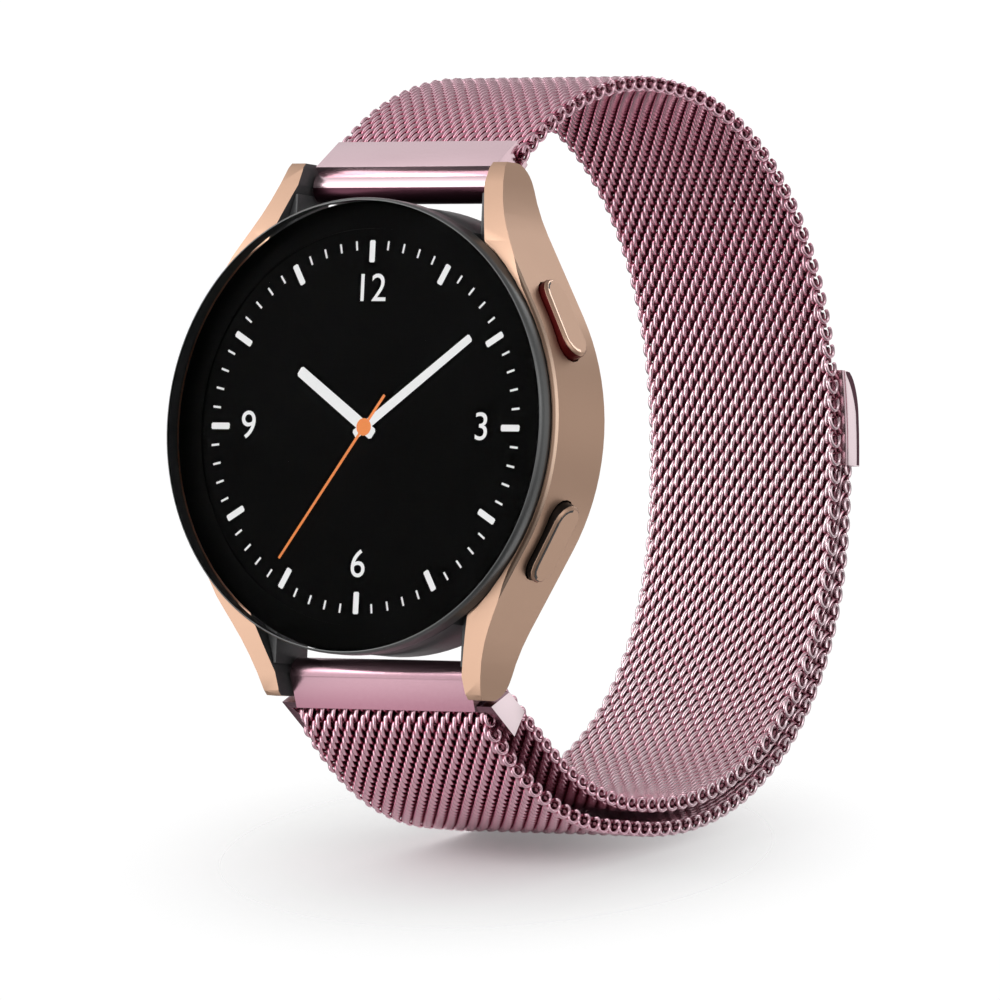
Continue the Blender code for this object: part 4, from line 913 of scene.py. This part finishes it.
def edge_line(name, side):
    """The dark line along the outer edge of one side of the clasp, a thin sheet of painted reflection."""
    face_x = side * (clasp_high.x - reflection_sunk)
    reflection_length = clasp_high.z - clasp_low.z - 2 * reflection_margin
    points = []
    for i in range(reflection_steps + 1):
        z = clasp_low.z + reflection_margin + reflection_length * i / reflection_steps
        share = max(0.0, 1 - (clasp_high.z - z) / clasp_taper)
        drop = (shell_outer - shell_tip) * (1 - math.sqrt(1 - share * share))
        outer_edge = shell_outer - drop - reflection_inset
        width = min(reflection_width + reflection_widening * share, 0.8 * (outer_edge - shell_inner))
        points.append((face_x, behind_band(outer_edge, z), z))
        points.append((face_x, behind_band(outer_edge - width, z), z))
    mesh = bpy.data.meshes.new(name)
    mesh.from_pydata(points, [], [(2 * i, 2 * i + 1, 2 * i + 3, 2 * i + 2) for i in range(reflection_steps)])
    piece = add_piece(name, mesh)
    bpy.ops.object.mode_set(mode="EDIT")
    bpy.ops.mesh.select_all(action="SELECT")
    bpy.ops.mesh.extrude_region_move(TRANSFORM_OT_translate={"value": (side * reflection_thickness, 0, 0)})
    bpy.ops.mesh.select_all(action="SELECT")
    bpy.ops.mesh.normals_make_consistent(inside=False)
    bpy.ops.object.mode_set(mode="OBJECT")
    dress(piece, painted_shade_steel, "tail", "rose_steel")


edge_line("clasp_edge_right", 1)
edge_line("clasp_edge_left", -1)
clasp_cover = rounded_copy("clasp_plate", "clasp_cover", 0.00006, 2)
dress(clasp_cover, rose_steel, "tail", "rose_steel", "clasp_plate")

# Studio. A small pale floor under the band takes its shadow and fades out towards its edge. A soft lamp
# stands to the front left and a weaker one to the right. The room is pale, with soft bright panels round the
# watch that its metal mirrors, and it is white behind the watch.

look = Vector((-0.56186, 0.82570, 0.05033))
right = Vector((0.82717, 0.56003, 0.04638))
up = Vector((-0.01011, -0.06769, 0.99766))
camera_data = bpy.data.cameras.new("camera")
camera_data.lens = 414.5
camera_data.sensor_width = 36.0
camera = bpy.data.objects.new("camera", camera_data)
bpy.context.scene.collection.objects.link(camera)
camera_place = Matrix.Translation((0.561685, -0.812715, -0.055130))
camera.matrix_world = camera_place @ Matrix((right, up, -look)).transposed().to_4x4()
bpy.context.scene.camera = camera


def soft_lamp(name, location, target, size, power):
    data = bpy.data.lights.new(name, "AREA")
    data.shape = "DISK"
    data.size = size
    data.energy = power
    lamp = bpy.data.objects.new(name, data)
    bpy.context.scene.collection.objects.link(lamp)
    lamp.location = location
    lamp.rotation_mode = "QUATERNION"
    lamp.rotation_quaternion = (Vector(target) - Vector(location)).to_track_quat("-Z", "Y")


soft_lamp("front_lamp", (-0.46, -0.67, 0.26), (0, 0.01, 0), 0.3, 1.2)
soft_lamp("right_lamp", (0.62, -0.36, 0.20), (0, 0.02, 0), 0.4, 0.5)

floor_tilt = math.radians(9)
floor_up = (up * math.cos(floor_tilt) - look * math.sin(floor_tilt)).normalized()
floor_gap, floor_radius = 0.0003, 0.14
lowest = min(Vector((0, y, z)).dot(floor_up) for y, z in line) - strap_thickness / 2 - floor_gap
bpy.ops.object.select_all(action="DESELECT")
bpy.ops.mesh.primitive_circle_add(vertices=96, radius=floor_radius, fill_type="NGON")
floor = bpy.context.object
floor.name = "floor"
floor_middle = Vector((0, 0.012, 0))
floor.location = floor_middle + floor_up * (lowest - floor_middle.dot(floor_up))
floor.rotation_mode = "QUATERNION"
floor.rotation_quaternion = floor_up.to_track_quat("Z", "Y")
floor_finish = bpy.data.materials.new("pale_floor")
floor_finish.use_nodes = True
tree = floor_finish.node_tree
floor_shader = tree.nodes["Principled BSDF"]
place = Socket(tree, tree.nodes.new("ShaderNodeTexCoord").outputs["Object"])
floor_x, floor_y, _ = parts_of(place)
fade_half_width, fade_half_depth = 0.030, 0.046
fade_x, fade_y = floor_x / fade_half_width, floor_y / fade_half_depth
spread = (fade_x * fade_x + fade_y * fade_y) ** 0.5
clear_share = 0.15 + 0.85 * ramp(spread, 0.0, 1.25)
clear_edge = tree.nodes.new("ShaderNodeBsdfTransparent")
fade = tree.nodes.new("ShaderNodeMixShader")
tree.links.new(clear_share.output, fade.inputs[0])
tree.links.new(floor_shader.outputs[0], fade.inputs[1])
tree.links.new(clear_edge.outputs[0], fade.inputs[2])
tree.links.new(fade.outputs[0], tree.nodes["Material Output"].inputs["Surface"])
floor_shader.inputs["Base Color"].default_value = (0.90, 0.90, 0.90, 1.0)
floor_shader.inputs["Roughness"].default_value = 0.8
floor_shader.inputs["Specular IOR Level"].default_value = 0.0
floor.data.materials.append(floor_finish)

world = bpy.data.worlds.new("studio")
world.use_nodes = True
bpy.context.scene.world = world
tree = world.node_tree
ray = Socket(tree, tree.nodes.new("ShaderNodeTexCoord").outputs["Generated"])
ray_z = parts_of(ray)[2]


def facing(direction, near, full):
    """One where a ray runs along a direction, and zero well away from it."""
    along_it = ray.node("ShaderNodeVectorMath", {"operation": "DOT_PRODUCT"}, {0: ray, 1: direction}, 1)
    return ramp(along_it, near, full)


backdrop = 0.60 * facing((-0.562, 0.826, 0.050), 0.94, 0.996)
front_left = 0.76 * facing((-0.56, -0.83, 0.0), 0.5, 0.95)
front_low = 1.35 * facing((-0.54, -0.62, -0.57), 0.84, 0.97)
front_high = 0.52 * facing((-0.54, -0.55, 0.64), 0.65, 0.93)
overhead = 0.42 * facing((-0.57, 0.30, 0.76), 0.90, 0.985)
front_right = 0.56 * facing((0.95, -0.28, 0.05), 0.75, 0.95)
back_right = 0.45 * facing((0.56, 0.83, 0.05), 0.95, 0.99)
back_high = 1.90 * facing((0.06, 0.82, 0.57), 0.950, 0.990)
back_low = 1.00 * facing((0.27, 0.83, -0.48), 0.910, 0.985)
front_panels = backdrop + front_left + front_low + front_high + overhead + front_right
back_panels = back_right + back_high + back_low
room = 0.16 + 0.34 * ramp(ray_z, -0.6, 0.3) - 0.18 * ramp(ray_z, 0.3, 0.75)
level = room + front_panels + back_panels
tree.links.new(level.output, tree.nodes["Background"].inputs["Strength"])
tree.nodes["Background"].inputs["Color"].default_value = (1.0, 1.0, 1.0, 1.0)
bpy.context.scene.view_settings.view_transform = "Standard"
